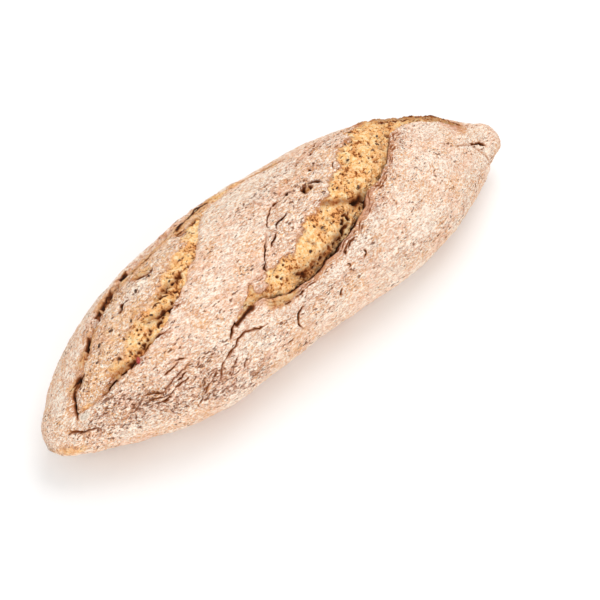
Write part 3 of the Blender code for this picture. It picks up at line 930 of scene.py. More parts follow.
@dataclass(frozen=True)
class CrackShape:
    """How all cracks run: a rim that dips, a narrow core with painted shade, tapered ends, and breaks on the
    way.
    """

    rim_depth: float = 0.4  # the share of the depth that the rim has
    core_depth: float = 0.8
    core_width: float = 0.00024  # the least width of the dark core
    core_share: float = 0.17  # how much of the reach is added to it
    end_width: float = 0.4  # the share of that width that is left at the ends
    uneven_width: float = 0.9
    uneven_size: float = 0.0021
    uneven_seed: int = 39
    ends: tuple[float, float] = (0.02, 0.98)  # the shares of its way between which it is read
    taper_power: float = 0.35
    broken_size: float = 0.0030
    broken_levels: tuple[float, float] = (-0.35, 0.0)
    broken_search: float = 0.01
    broken_seed: int = 40

    def taper(
        self, crack: Crack, order: int, places: Places, away: np.ndarray, along: np.ndarray
    ) -> np.ndarray:
        """The share of its depth that a crack has from place to place, with its breaks.

        Args:
            crack: the crack.
            order: its place among the cracks, which picks its breaks.
            places: where it is read.
            away: the distance to it.
            along: the share of it passed there.

        Returns:
            The share, from 0 to 1.
        """
        taper = np.sin(math.pi * np.clip(along, *self.ends)) ** self.taper_power
        if not crack.broken:
            return taper
        near = away < self.broken_search
        broken = np.zeros(len(away))
        broken[near] = noise_at(places.point[near], self.broken_size, self.broken_seed + order)
        return taper * eased(broken, *self.broken_levels)

    def relief(self, cracks: tuple[Crack, ...], places: Places) -> tuple[np.ndarray, np.ndarray]:
        """Height of cracks, and the painted shade in their cores.

        Args:
            cracks: the cracks and folds.
            places: where they are read.

        Returns:
            The height, below 0, and how strong the painted shade is at each place, from 0 to 1.
        """
        height, dark = np.zeros(len(places.chart)), np.zeros(len(places.chart))
        uneven = noise_at(places.point, self.uneven_size, self.uneven_seed)
        uneven = self.uneven_width + self.uneven_width * uneven
        for order, crack in enumerate(cracks):
            away, along, _ = CrustLine(crack.stops).measure(places.wandered, places.narrow)
            taper = self.taper(crack, order, places, away, along)
            width = self.core_width + self.core_share * crack.reach
            core = fading(away, width * (self.end_width + (1 - self.end_width) * taper) * uneven, CRACK_RIM)
            rim = fading(away, crack.reach, CRACK_RIM)
            height -= crack.depth * taper * (self.rim_depth * rim + self.core_depth * core)
            # painted shade in the crack's core
            dark = np.maximum(dark, crack.dark * taper * core)
        return height, dark


CRACK_SHAPE = CrackShape()


def bump_relief(bumps: tuple[Bump, ...], chart: np.ndarray, narrow: np.ndarray) -> np.ndarray:
    """Height of round bumps or hollows, each a dome that runs out smoothly at its rim.

    Args:
        bumps: the bumps.
        chart: metres along and metres across, one place to a row.
        narrow: how much the loaf's taper shrinks distances across it there.

    Returns:
        The height at each place.
    """
    height = np.zeros(len(chart))
    for bump in bumps:
        centre = FORM.on_chart(((bump.x, bump.degrees),))[0]
        across = np.mod(chart[:, 1] - centre[1] + FULL_TURN / 2, FULL_TURN) - FULL_TURN / 2
        away = np.hypot((chart[:, 0] - centre[0]) / bump.long, narrow * across)
        height += bump.height * fading(away, bump.radius, DOME_RIM)
    return height


def add_paint(painted: dict[Paint, np.ndarray], paint: Paint, *layers: np.ndarray) -> None:
    """Adds layers of one paint, each where it is stronger than what is there."""
    painted[paint] = np.maximum.reduce([painted[paint], *layers])


def paint_strokes(places: Places) -> dict[Paint, np.ndarray]:
    """Paints all strokes.

    Args:
        places: where they are read.

    Returns:
        For each kind of paint, how strong it is at each place.
    """
    painted = {paint: np.zeros(len(places.chart)) for paint in Paint}
    for paint, strokes in STROKES.items():
        for stroke in strokes:
            reach = max(LINE_SEARCH, STROKE_REACHES * stroke.reach)
            away, _, _ = CrustLine(stroke.stops).measure(places.wandered, places.narrow, reach)
            add_paint(painted, paint, stroke.strength * fading(away, stroke.reach, CRACK_RIM))
    return painted


# ---------------------------------------------------------------- meshes


def deselect_all() -> None:
    """Leaves nothing selected."""
    for thing in bpy.context.selected_objects:
        thing.select_set(False)


def wrapped_grid(name: str, columns: int, rows: int) -> tuple[bpy.types.Object, np.ndarray, np.ndarray]:
    """Adds a grid that is going to be wrapped into a closed form.

    Args:
        name: the piece's name.
        columns: faces from end to end.
        rows: faces round it.

    Returns:
        The piece, and the share from end to end and the share round it of each vertex.
    """
    deselect_all()
    bpy.ops.mesh.primitive_grid_add(x_subdivisions=columns, y_subdivisions=rows, size=2)
    piece = bpy.context.object
    piece.name = piece.data.name = name
    places = np.zeros(len(piece.data.vertices) * 3, np.float32)
    piece.data.vertices.foreach_get("co", places)
    shares = places.reshape(-1, 3)[:, :2] / 2 + 0.5
    steps = np.array((columns, rows))
    shares = np.round(shares * steps) / steps
    return piece, shares[:, 0], shares[:, 1]


def close_and_thin(piece: bpy.types.Object, points: np.ndarray, ends: np.ndarray, kept: int) -> None:
    """Shapes a wrapped grid, closes its seam and both ends, and thins it where it is plain.

    Args:
        piece: the grid.
        points: where its vertices go.
        ends: the share from end to end of each vertex.
        kept: about how many triangles the piece keeps.
    """
    for end in (0.0, 1.0):
        points[ends == end] = points[ends == end].mean(axis=0)
    piece.data.vertices.foreach_set("co", points.ravel())
    bpy.ops.object.mode_set(mode="EDIT")
    bpy.ops.mesh.select_all(action="SELECT")
    bpy.ops.mesh.remove_doubles(threshold=MERGE_DISTANCE)
    bpy.ops.mesh.dissolve_degenerate(threshold=LEAST_EDGE)
    bpy.ops.mesh.normals_make_consistent(inside=False)
    bpy.ops.object.mode_set(mode="OBJECT")
    thinned = piece.modifiers.new("thin out", "DECIMATE")
    thinned.ratio = min(1.0, kept / (2 * len(piece.data.polygons)))
    bpy.ops.object.modifier_apply(modifier=thinned.name)
    bpy.ops.object.shade_smooth()


def store_paint(piece: bpy.types.Object, painted: dict[Paint, np.ndarray]) -> None:
    """Keeps each kind of paint in an attribute of the piece's mesh.

    Args:
        piece: the piece.
        painted: for each kind of paint, how strong it is at each vertex.
    """
    for paint, values in painted.items():
        layer = piece.data.attributes.new(paint.value, "FLOAT", "POINT")
        layer.data.foreach_set("value", np.clip(values, 0, 1).astype(np.float32))


# ---------------------------------------------------------------- the crust


@dataclass
class Crust:
    """The whole crust, open at both slashes, where it goes down into a hidden floor."""

    columns: int = 860
    rows: int = 600
    kept: int = 190000
    angle_shares: tuple[float, ...] = (0.0, 0.09, 0.93, 1.0)  # shares of the rows, from below round to below
    angle_stops: tuple[float, ...] = (-180.0, -115.0, 105.0, 180.0)  # and the degrees from the crown there
    floor_depth: float = 0.0095
    seam_wall: float = 0.0008
    wall_change: tuple[float, float] = (0.35, 0.65)  # the shares across where one wall turns into the other
    overhang_reach: float = 0.0030
    overhang_rim: float = 1.3
    ripple: tuple[float, float] = (0.75, 0.5)  # the overhang's middle share, and how far it changes
    ripple_size: float = 0.0070
    undercut: float = 0.0016
    undercut_depths: tuple[float, float] = (0.0019, 0.0060)  # where the undercut is deepest, and its end
    ear_border: float = 0.0029
    ear_lines: tuple[float, float] = (0.0009, 0.0022)
    ear_line_width: float = 0.00034
    ear_line_depth: float = 0.0004
    ear_line_bend: tuple[float, float] = (0.0045, 0.0006)
    ear_line_size: float = 0.0060
    ear_line_levels: tuple[float, float] = (-0.3, 0.2)
    dark_depths: tuple[float, float] = (0.0002, 0.0016)  # how deep down the wall its painted shade begins, and is full
    # how dark the painted shade down the wall is
    wall_shade: float = 0.85
    seam_rim: float = 0.0007
    seam_bare: float = 0.4
    line_shade: float = 1.2  # painted shade and browning of the ear's fold lines, as shares of the slash's own browning
    line_baked: float = 1.6
    border_bare: float = 0.7
    least_flaked: float = 0.12
    gap_flaked: tuple[float, float] = (0.1, 0.9)  # how flaked the skin is where gaps begin and are deepest
    least_flakes: float = 0.4
    gap_bare: float = 0.30
    gap_baked: float = 0.35
    crack_bare: float = 0.7
    crack_baked: float = 0.9
    gold_bare: float = 0.85
    seed: int = 31
    middle: np.ndarray = field(default_factory=lambda: np.zeros(3))

    def angles(self, shares: np.ndarray) -> np.ndarray:
        """Angles from the crown, closer together on the upper side, in radians."""
        return np.radians(np.interp(shares, self.angle_shares, self.angle_stops))

    def ear_line(self, survey: Survey, places: Places, torn_side: np.ndarray) -> np.ndarray:
        """How far each place lies in one of the fine folds along the ear, from 0 to 1.

        Args:
            survey: how the places lie to the slash.
            places: the crust's places.
            torn_side: how far each place lies along the part that is torn.

        Returns:
            The share at each place.
        """
        size, amount = self.ear_line_bend
        bend = amount * noise_at(places.point, size, self.seed + 2)
        away = [np.abs(survey.to_torn - at - bend) for at in self.ear_lines]
        line = sum(fading(distance, self.ear_line_width, CRACK_RIM) for distance in away)
        broken = eased(noise_at(places.point, self.ear_line_size, self.seed + 3), *self.ear_line_levels)
        return line * (torn_side * broken * (~survey.within))

    def slash_shape(self, slash: Slash, places: Places) -> tuple[np.ndarray, np.ndarray, dict]:
        """Shapes the crust at one slash.

        Args:
            slash: the slash.
            places: the crust's places.

        Returns:
            The height, the move over the crust, and the paint at each place.
        """
        survey = slash.survey(places)
        depth = np.where(survey.within, survey.to_edge, 0)
        at_torn = eased(survey.share, *self.wall_change)
        run = self.seam_wall + (slash.torn_wall - self.seam_wall) * at_torn
        wall = eased(depth / run, 0, 1)
        height = slash.crust_height(survey) * (1 - wall) - self.floor_depth * wall
        middle, change = self.ripple
        ripple = middle + change * noise_at(places.point, self.ripple_size, self.seed)
        over = slash.overhang * slash.gaping(survey) * survey.arch * ripple
        over = over * fading(survey.to_torn, self.overhang_reach, self.overhang_rim)
        deepest, end = self.undercut_depths
        under, back = eased(depth, 0, deepest), eased(depth, deepest, end)
        cut = over * (1 - under) - self.undercut * survey.arch * under * (1 - back)
        reach = np.where(survey.torn_side, np.where(survey.within, cut, over), 0)
        move = slash.inward(places, survey) * reach[:, None]
        torn_side = np.where(survey.torn_side, survey.arch, 0) * (1 - eased(survey.along, *slash.border_end))
        near = fading(survey.to_torn, self.ear_border, CRACK_RIM) * torn_side
        line = self.ear_line(survey, places, torn_side)
        inner = eased(depth, *self.dark_depths)
        rim = fading(survey.to_seam, self.seam_rim, CRACK_RIM) * (1 - survey.bridged)
        border, bare_seam = slash.border, self.seam_bare * rim
        # Painted shade down the wall into the slash and in the ear's fold lines; the wall is also browned and
        # bare of flour, the border browned
        painted = {
            Paint.PAINTED_SHADE: np.maximum(self.wall_shade * inner, self.line_shade * border * line),
            Paint.BAKED_AND_SHADE: np.maximum.reduce([border * near, self.line_baked * border * line, inner]),
            Paint.BARE: np.maximum.reduce([self.border_bare * border * near, line, inner, bare_seam]),
        }
        return height - self.ear_line_depth * line, move, painted

    def build(self) -> bpy.types.Object:
        """Builds the crust's mesh and its paint.

        Returns:
            The piece.
        """
        piece, ends, rounds = wrapped_grid("crust", self.columns, self.rows)
        stations = FORM.even_stations(self.columns + 1)
        x = np.interp(ends, np.linspace(0, 1, self.columns + 1), stations)
        places = FORM.places(np.stack([x, self.angles(rounds) * FORM.girth_radius], axis=-1))
        height = CRUMPLING.lump_height(places)
        painted = paint_strokes(places)
        add_paint(painted, Paint.BARE, self.gold_bare * painted[Paint.GOLD])
        flaked = painted[Paint.FLAKED] = np.maximum(painted[Paint.FLAKED], self.least_flaked)
        moves = np.zeros_like(places.point)
        calm = np.ones(len(x))
        for slash in SLASHES:
            rise, move, layer = self.slash_shape(slash, places)
            height += rise
            moves += move
            calm *= 1 - np.clip(-rise / self.floor_depth, 0, 1)
            for paint, values in layer.items():
                add_paint(painted, paint, values)
        gaps = CRUMPLING.flake_gaps(places) * eased(flaked, *self.gap_flaked)
        flakes = CRUMPLING.flake_height(places) * (self.least_flakes + flaked)
        height += (flakes - CRUMPLING.gap_depth * gaps) * calm
        add_paint(painted, Paint.BARE, self.gap_bare * gaps)
        add_paint(painted, Paint.BAKED_AND_SHADE, self.gap_baked * gaps)
        # Cracks dip, carry painted shade in their cores, and are browned and bare of flour along them
        for cracks in (CRACKS, FINE_CRACKS):
            drop, dark = CRACK_SHAPE.relief(cracks, places)
            height += drop * calm
            add_paint(painted, Paint.PAINTED_SHADE, dark * calm)
            add_paint(painted, Paint.BAKED_AND_SHADE, self.crack_baked * dark)
            add_paint(painted, Paint.BARE, self.crack_bare * np.sqrt(dark))
        height += bump_relief(BUMPS, places.wandered, places.narrow)
        points = places.point + places.outward * height[:, None] + moves
        self.middle = (points.min(axis=0) + points.max(axis=0)) / 2
        store_paint(piece, painted)
        close_and_thin(piece, FORM.stand(points, self.middle), ends, self.kept)
        return piece


# ---------------------------------------------------------------- the torn crumb


@dataclass
class TornCrumb:
    """The torn crumb that fills a slash, tucked under the crust at both edges."""

    name: str
    slash: Slash
    columns: int
    rows: int
    kept: int
    samples: int = 60
    margin: float = 0.0050
    end_share: float = 0.03
    top_share: float = 0.90
    thickness: float = 0.0040
    sink: float = 0.0006
    slope: float = 0.75
    grain: Stops = ((0.0042, 0.00085), (0.0019, 0.00060), (0.0009, 0.00032))
    calm_grain: float = 0.38
    closed_grain: float = 0.25  # the share of the grain that is left where the slash is closed
    torn_grain: float = 0.7  # how much more grain there is at the torn edge
    torn_reach: float = 0.0090
    sink_reach: float = 0.0012
    hollow_fraying: Stops = ((0.0030, 0.0013), (0.0012, 0.0006))
    hollow_seed: int = 60
    pore_size: float = 0.0028
    pore_depth: float = 0.0015
    pore_reach: float = 0.42  # how far a pore reaches, in its own size
    pore_sizes: tuple[float, float] = (0.45, 0.8)  # the pores' middle size, and how far it changes
    pore_change: float = 3.7
    deep_levels: tuple[float, float] = (0.0034, 0.0070)  # how far below its smooth form the crumb's painted shade begins, and is full
    # how deep a dip of the grain is where its painted shade, as browning, begins and is full
    cavity_levels: tuple[float, float] = (0.0001, 0.0013)
    # how deep a hollow is where its painted shade begins and is full
    hollow_levels: tuple[float, float] = (0.0008, 0.0030)
    # how dark painted shade on the crumb is, in deep places, hollows, cracks and around them
    shade_strength: float = 0.8
    # how dark the painted shade in pores is
    pore_shade: float = 0.7
    stroke_bare: float = 0.8
    least_flaked: float = 0.36
    seed: int = 50

    def chart(self, ends: np.ndarray, across: np.ndarray) -> np.ndarray:
        """Chart points over the slash and a margin beyond its edges.

        Args:
            ends: share along the slash.
            across: share from the seam to the torn edge.

        Returns:
            Metres along and metres across the crust.
        """
        samples = np.linspace(0, 1, self.samples)
        torn, seam = self.slash.torn_edge.points(self.samples), self.slash.seam.points(self.samples)
        middle = (torn + seam) / 2
        heading = np.gradient(middle, axis=0)
        heading /= np.linalg.norm(heading, axis=1, keepdims=True)
        sideways = np.stack([-heading[:, 1], heading[:, 0]], axis=-1)
        half = self.samples // 2
        sideways *= math.copysign(1.0, sideways[half] @ (torn[half] - seam[half]))
        columns = [np.interp(ends, samples, line[:, i]) for line in (seam, torn, sideways) for i in (0, 1)]
        seam_x, seam_y, torn_x, torn_y, side_x, side_y = columns
        taper = np.sqrt(np.clip(np.minimum(ends, 1 - ends) / self.end_share, 0, 1))
        spare = (2 * across - 1) * self.margin * taper
        x = seam_x + across * (torn_x - seam_x) + spare * side_x
        y = seam_y + across * (torn_y - seam_y) + spare * side_y
        return np.stack([x, y], axis=-1)

    def pores(self, points: np.ndarray) -> np.ndarray:
        """How deep each place lies in an open pore, from 0 to 1.

        Args:
            points: the places, one to a row.

        Returns:
            The depth at each place.
        """
        depth = np.zeros(len(points))
        middle, change = self.pore_sizes
        for i, place in enumerate((points / self.pore_size).tolist()):
            distances, centres = noise.voronoi(place)
            reach = self.pore_reach * (middle + change * noise.noise(centres[0] * self.pore_change))
            if distances[0] < reach:
                depth[i] = 1 - (distances[0] / reach) ** 2
        return depth

    def paint(self, survey: Survey, places: Places, gap: np.ndarray, cavity: np.ndarray) -> dict:
        """Paints the crumb.

        Args:
            survey: how the places lie to the slash.
            places: the crumb's places.
            gap: how strong the painted shade is at each place.
            cavity: how far each place lies in a dip of the grain, which painted shade browns.

        Returns:
            The paint at each place.
        """
        painted, slash = paint_strokes(places), self.slash
        strokes = painted[Paint.GOLD]
        add_paint(painted, Paint.GOLD, survey.gold, np.full(len(strokes), slash.skin_gold))
        # Painted shade in deep places, cracks, pores and hollows; dips of the grain and the edges of that
        # shade are browned as painted shade, the gold's limit by the oven
        add_paint(painted, Paint.PAINTED_SHADE, gap)
        rim = 4 * slash.limit_browning * survey.gold * (1 - survey.gold)
        add_paint(painted, Paint.BAKED_AND_SHADE, cavity, self.shade_strength * np.sqrt(gap), rim)
        bare = slash.skin_bare + (slash.gold_bare - slash.skin_bare) * survey.gold
        stroked = np.where(painted[Paint.GOLD] > slash.skin_gold, self.stroke_bare * strokes, 0)
        add_paint(painted, Paint.BARE, bare, stroked)
        add_paint(painted, Paint.FLAKED, np.full(len(strokes), self.least_flaked))
        return painted

    def build(self, loaf_middle: np.ndarray) -> bpy.types.Object:
        """Builds the crumb's mesh and its paint.

        Args:
            loaf_middle: the middle of the loaf's box before it is centred.

        Returns:
            The piece.
        """
        piece, ends, rounds = wrapped_grid(self.name, self.columns, self.rows)
        bottom = rounds > self.top_share
        across = np.where(bottom, (1 - rounds) / (1 - self.top_share), rounds / self.top_share)
        places = FORM.places(self.chart(ends, across))
        survey = self.slash.survey(places)
        lumps = CRUMPLING.lump_height(places)
        outside = np.where(survey.within, 0, survey.to_edge)
        inset = np.where(survey.within, survey.to_edge, 0)
        height = lumps + self.slash.crumb_height(places, survey)
        height -= self.sink * (1 - survey.bridged) * fading(inset, self.sink_reach) + self.slope * outside
        grain = layered_noise(places.point, self.grain, self.seed)
        rough = self.calm_grain + (1 - self.calm_grain) * survey.gold
        rough *= self.closed_grain + (1 - self.closed_grain) * survey.open_by
        rough *= 1 + self.torn_grain * survey.gold * fading(survey.to_torn, self.torn_reach, CRACK_RIM)
        pore = self.pores(places.point) * survey.gold * survey.open_by
        ragged = frayed(places.wandered, places.point, self.hollow_fraying, self.hollow_seed)
        hollow = bump_relief(HOLLOWS, ragged, places.narrow)
        drop, dark = CRACK_SHAPE.relief(FINE_CRACKS, places)
        height += rough * grain - self.pore_depth * pore + hollow + drop
        height += bump_relief(BUMPS, places.wandered, places.narrow) * (1 - survey.gold)
        # Painted shade: the crumb darkens where it lies deep below its smooth form, in pores, in hollows and
        # in cracks
        deep = self.shade_strength * eased(lumps - height, *self.deep_levels)
        hollowed = self.shade_strength * eased(-hollow, *self.hollow_levels)
        gap = np.maximum.reduce([deep, dark, self.pore_shade * pore, hollowed])
        painted = self.paint(survey, places, gap, eased(-grain * rough, *self.cavity_levels))
        height = np.where(bottom, height - self.thickness * np.sqrt(4 * across * (1 - across)), height)
        points = places.point + places.outward * height[:, None]
        store_paint(piece, painted)
        close_and_thin(piece, FORM.stand(points, loaf_middle), ends, self.kept)
        return piece


# ---------------------------------------------------------------- grains and crumbs


@dataclass
class Grains:
    """Grains that sit in the bread, and small crumbs that broke off along the torn edges."""

    sides: int = 2  # how often the round shape's faces are split
    width_share: float = 0.55
    height_share: float = 0.42
    sunk: float = 0.30  # the share of a grain's height that the bread hides
    roughness: float = 0.16
    dents: float = 1600.0  # how many dents to a metre
    ray_height: float = 0.02  # how far over the smooth crust the bread is looked for
    crumbs: int = 170
    crumb_sizes: tuple[float, float] = (0.0007, 0.0015)
    crumb_ends: tuple[float, float] = (0.08, 0.92)  # the shares of a slash between which crumbs lie
    crumb_spread: tuple[float, float] = (1.2, 1.6)  # how they lie across it, mostly near the torn edge
    seed: int = 7

    def strewn(self) -> tuple[Grain, ...]:
        """Small crumbs at random places along the torn edges and in the slashes.

        Returns:
            The crumbs.
        """
        chance = np.random.default_rng(self.seed)
        strewn = []
        for order in range(self.crumbs):
            slash = SLASHES[order % len(SLASHES)]
            torn, seam = slash.torn_edge.points(), slash.seam.points()
            at, across = chance.uniform(*self.crumb_ends), chance.beta(*self.crumb_spread)
            spot = (1 - across) * torn[int(at * len(torn))] + across * seam[int(at * len(seam))]
            degrees = math.degrees(spot[1] / FORM.girth_radius)
            length, turn = chance.uniform(*self.crumb_sizes), chance.uniform(0, 180)
            strewn.append(Grain(float(spot[0]), float(degrees), float(length), float(turn)))
        return tuple(strewn)

    def add(self, grain: Grain, shift: Vector, bread: list[bpy.types.Object]) -> bpy.types.Object:
        """Adds one grain on the bread.

        Args:
            grain: the grain.
            shift: the move that puts the loaf over the origin.
            bread: the pieces that it can lie on.

        Returns:
            The grain, a piece of its own.
        """
        places = FORM.places(FORM.on_chart(((grain.x, grain.degrees),)))
        outward, along = Vector(places.outward[0]), Vector(places.along[0]).normalized()
        start = Vector(places.point[0]) + shift + self.ray_height * outward
        hits = [spot for found, spot, _, _ in (piece.ray_cast(start, -outward) for piece in bread) if found]
        top = min(hits, key=lambda spot: (spot - start).length)
        bpy.ops.mesh.primitive_ico_sphere_add(subdivisions=self.sides, radius=grain.length / 2)
        piece = bpy.context.object
        turned = Matrix.Rotation(math.radians(grain.turn), 3, outward) @ along
        sideways = outward.cross(turned)
        high = grain.length / 2 * self.height_share
        middle = top + outward * high * (1 - 2 * self.sunk)
        for vertex in piece.data.vertices:
            place = (vertex.co + grain.x * Vector((1, 1, 1))) * self.dents
            x, y, z = vertex.co * (1 + self.roughness * noise.noise(place))
            across = sideways * y * self.width_share
            vertex.co = middle + turned * x + across + outward * z * self.height_share
        return piece

    def build(
        self, name: str, grains: tuple[Grain, ...], middle: np.ndarray, bread: list[bpy.types.Object]
    ) -> bpy.types.Object:
        """Builds all grains of a kind as one piece.

        Args:
            name: the piece's name.
            grains: the grains.
            middle: the middle of the loaf's box before it is centred.
            bread: the pieces that they lie on.

        Returns:
            The piece.
        """
        deselect_all()
        shift = Vector((-float(middle[0]), -float(middle[1]), 0.0))
        added = [self.add(grain, shift, bread) for grain in grains]
        for piece in added:
            piece.select_set(True)
        bpy.context.view_layer.objects.active = added[0]
        if len(added) > 1:
            bpy.ops.object.join()
        joined = bpy.context.object
        joined.name = joined.data.name = name
        bpy.ops.object.shade_smooth()
        return joined


# ---------------------------------------------------------------- finishes


def tone(red: int, green: int, blue: int) -> tuple[float, float, float, float]:
    """A colour given as it looks on a screen, from 0 to 255, as the shader's own value.

    Args:
        red: how red it is.
        green: how green it is.
        blue: how blue it is.

    Returns:
        The shader's red, green, blue and full cover.
    """
    shares = [value / 255 for value in (red, green, blue)]
    linear = [share / 12.92 if share <= 0.04045 else ((share + 0.055) / 1.055) ** 2.4 for share in shares]
    return linear[0], linear[1], linear[2], 1.0


class NodeSheet:
    """Adds nodes to one node tree and joins them."""

    def __init__(self, tree: bpy.types.NodeTree) -> None:
        """Starts on a tree."""
        self.tree = tree

    def feed(self, socket: bpy.types.NodeSocket, value: object) -> None:
        """Links a socket to the input, or sets the input's value.

        Args:
            socket: the input.
            value: a socket to link, or a value.
        """
        if isinstance(value, bpy.types.NodeSocket):
            self.tree.links.new(value, socket)
        else:
            socket.default_value = value

    def node(self, kind: str, settings: dict | None = None, inputs: dict | None = None) -> bpy.types.Node:
        """Adds a node.

        Args:
            kind: the node's type.
            settings: its options.
            inputs: sockets or values for its inputs, by name or number.

        Returns:
            The node.
        """
        added = self.tree.nodes.new(kind)
        for name, value in (settings or {}).items():
            setattr(added, name, value)
        for name, value in (inputs or {}).items():
            self.feed(added.inputs[name], value)
        return added

    def maths(self, operation: str, *values: object) -> object:
        """One step of arithmetic on some values."""
        return self.node("ShaderNodeMath", {"operation": operation}, dict(enumerate(values))).outputs[0]

    def plus(self, first: object, second: object) -> object:
        """The sum of two values."""
        return self.maths("ADD", first, second)

    def less(self, first: object, second: object) -> object:
        """The first value less the second."""
        return self.maths("SUBTRACT", first, second)

    def times(self, first: object, second: object) -> object:
        """The product of two values."""
        return self.maths("MULTIPLY", first, second)

    def most(self, first: object, second: object) -> object:
        """The greater of two values."""
        return self.maths("MAXIMUM", first, second)

    def rising(self, value: object, rise: object, start: object) -> object:
        """A start, and so much more for each unit of a value."""
        return self.maths("MULTIPLY_ADD", value, rise, start)

    def blend(self, share: object, first: object, second: object) -> object:
        """A share of the second colour over the first."""
        inputs = {0: share, 6: first, 7: second}
        return self.node("ShaderNodeMix", {"data_type": "RGBA"}, inputs).outputs[2]

    def group(self, tree: bpy.types.NodeTree, inputs: dict[str, object]) -> object:
        """What a shared effect puts out for these inputs."""
        return self.node("ShaderNodeGroup", {"node_tree": tree}, inputs).outputs[0]

    def dented(self, shader: bpy.types.Node, height: object, depth: float) -> None:
        """Gives a shader fine relief from a height between 0 and 1.

        Args:
            shader: the shader.
            height: the height.
            depth: how deep it goes, in metres.
        """
        inputs = {"Height": height, "Distance": depth, "Strength": 1.0}
        self.feed(shader.inputs["Normal"], self.node("ShaderNodeBump", None, inputs).outputs["Normal"])

    def step(self, value: object, low: object, high: object, start: float = 0.0, end: float = 1.0) -> object:
        """A smooth step between two levels of a value.

        Args:
            value: the value.
            low: the level where the step starts.
            high: the level where it ends.
            start: what it gives at the low level.
            end: what it gives at the high level.

        Returns:
            The step's socket.
        """
        settings = {"interpolation_type": "SMOOTHSTEP"}
        inputs = {"Value": value, "From Min": low, "From Max": high, "To Min": start, "To Max": end}
        return self.node("ShaderNodeMapRange", settings, inputs).outputs[0]

    def noise(self, place: object, scale: object, detail: float = 2.0, roughness: float = 0.5) -> object:
        """Noise from 0 to 1 with this many lumps to a metre."""
        inputs = {"Vector": place, "Scale": scale, "Detail": detail, "Roughness": roughness}
        return self.node("ShaderNodeTexNoise", None, inputs).outputs[0]

    def cells(self, place: object, scale: object, feature: str = "F1") -> object:
        """Distance to the nearest cell centre, or to the cell's border."""
        inputs = {"Vector": place, "Scale": scale}
        return self.node("ShaderNodeTexVoronoi", {"feature": feature}, inputs).outputs["Distance"]

    def stretched(self, place: object, turn: float, lengths: tuple[float, float, float]) -> object:
        """Places turned about Z by degrees, and squeezed so that what is read there is longer.

        Args:
            place: the places.
            turn: the degrees.
            lengths: how much longer along each axis.

        Returns:
            The turned places' socket.
        """
        inputs = {
            "Vector": place,
            "Rotation": (0.0, 0.0, math.radians(turn)),
            "Scale": tuple(1 / length for length in lengths),
        }
        return self.node("ShaderNodeMapping", {"vector_type": "POINT"}, inputs).outputs[0]

    def paint(self, paint: Paint) -> object:
        """The piece's painted value of one kind."""
        return self.node("ShaderNodeAttribute", {"attribute_name": paint.value}).outputs["Fac"]


@dataclass(frozen=True)
class Mottling:
    """Patches of noise: how many to a metre, how fine and rough, and the levels of their edges."""

    density: object
    detail: float
    roughness: float
    low: float
    high: float

    def on(self, sheet: NodeSheet, place: object) -> object:
        """The patches, from 0 to 1."""
        return sheet.step(sheet.noise(place, self.density, self.detail, self.roughness), self.low, self.high)


def started_material(name: str, roughness: float) -> tuple[bpy.types.Material, NodeSheet, bpy.types.Node]:
    """Starts a material.

    Args:
        name: its name.
        roughness: how matt it is.

    Returns:
        The material, the sheet of its nodes, and its shader.
    """
    material = bpy.data.materials.new(name)
    material.use_nodes = True
    shader = material.node_tree.nodes["Principled BSDF"]
    shader.inputs["Roughness"].default_value = roughness
    return material, NodeSheet(material.node_tree), shader


def effect_group(name: str, inputs: dict[str, object], outputs: tuple[str, ...]) -> NodeSheet:
    """Starts a node group with named sockets.

    Args:
        name: the group's name.
        inputs: input names and their first values; a triple is a place.
        outputs: output names, all plain values.

    Returns:
        The sheet of the group, with nodes named Inputs and Outputs.
    """
    tree = bpy.data.node_groups.new(name, "ShaderNodeTree")
    for socket_name, value in inputs.items():
        kind = "NodeSocketVector" if isinstance(value, tuple) else "NodeSocketFloat"
        socket = tree.interface.new_socket(name=socket_name, in_out="INPUT", socket_type=kind)
        socket.default_value = value
    for socket_name in outputs:
        tree.interface.new_socket(name=socket_name, in_out="OUTPUT", socket_type="NodeSocketFloat")
    tree.nodes.new("NodeGroupInput").name = "Inputs"
    tree.nodes.new("NodeGroupOutput").name = "Outputs"
    return NodeSheet(tree)


def flour_group() -> bpy.types.NodeTree:
    """Flour dusted on a rough crust: soft patches, broken up by clumps and fine specks.

    Returns:
        A group that turns Place and Cover into a Mask, 1 where flour lies. Clumping is how far
        the flour gathers in clumps.
    """
    sheet = effect_group(
        "flour dusting",
        {
            "Place": (0.0, 0.0, 0.0), "Cover": 0.5, "Clumping": 0.6, "Speckling": 2.0,
            "Patches": 70.0, "Clumps": 400.0, "Specks": 1350.0,
        },
        ("Mask",),
    )
    given = sheet.tree.nodes["Inputs"].outputs
    total = given["Cover"]
    layers = {"Patches": 0.9, "Clumps": given["Clumping"], "Specks": given["Speckling"]}
    for density, strength in layers.items():
        layer = sheet.less(sheet.noise(given["Place"], given[density], 2.0, 0.6), 0.5)
        total = sheet.plus(total, sheet.times(layer, strength))
    sheet.feed(sheet.tree.nodes["Outputs"].inputs["Mask"], sheet.step(total, 0.25, 0.75))
    return sheet.tree


def fleck_group() -> bpy.types.NodeTree:
    """Dark flecks, where the crust shows between flakes of flour.

    Returns:
        A group that turns Place, Amount and Density into a Mask, 1 on a fleck. Amount is about
        the share of the surface that flecks cover.
    """
    sheet = effect_group(
        "bran flecks", {"Place": (0.0, 0.0, 0.0), "Amount": 0.1, "Density": 900.0}, ("Mask",)
    )
    given = sheet.tree.nodes["Inputs"].outputs
    spots = sheet.noise(given["Place"], given["Density"], 1.0, 0.5)
    groups = sheet.noise(given["Place"], sheet.times(given["Density"], 0.19), 1.0, 0.5)
    level = sheet.plus(spots, sheet.times(sheet.less(groups, 0.5), 0.4))
    low = sheet.less(0.70, sheet.times(given["Amount"], 0.55))
    mask = sheet.step(level, low, sheet.plus(low, 0.08))
    sheet.feed(sheet.tree.nodes["Outputs"].inputs["Mask"], mask)
    return sheet.tree


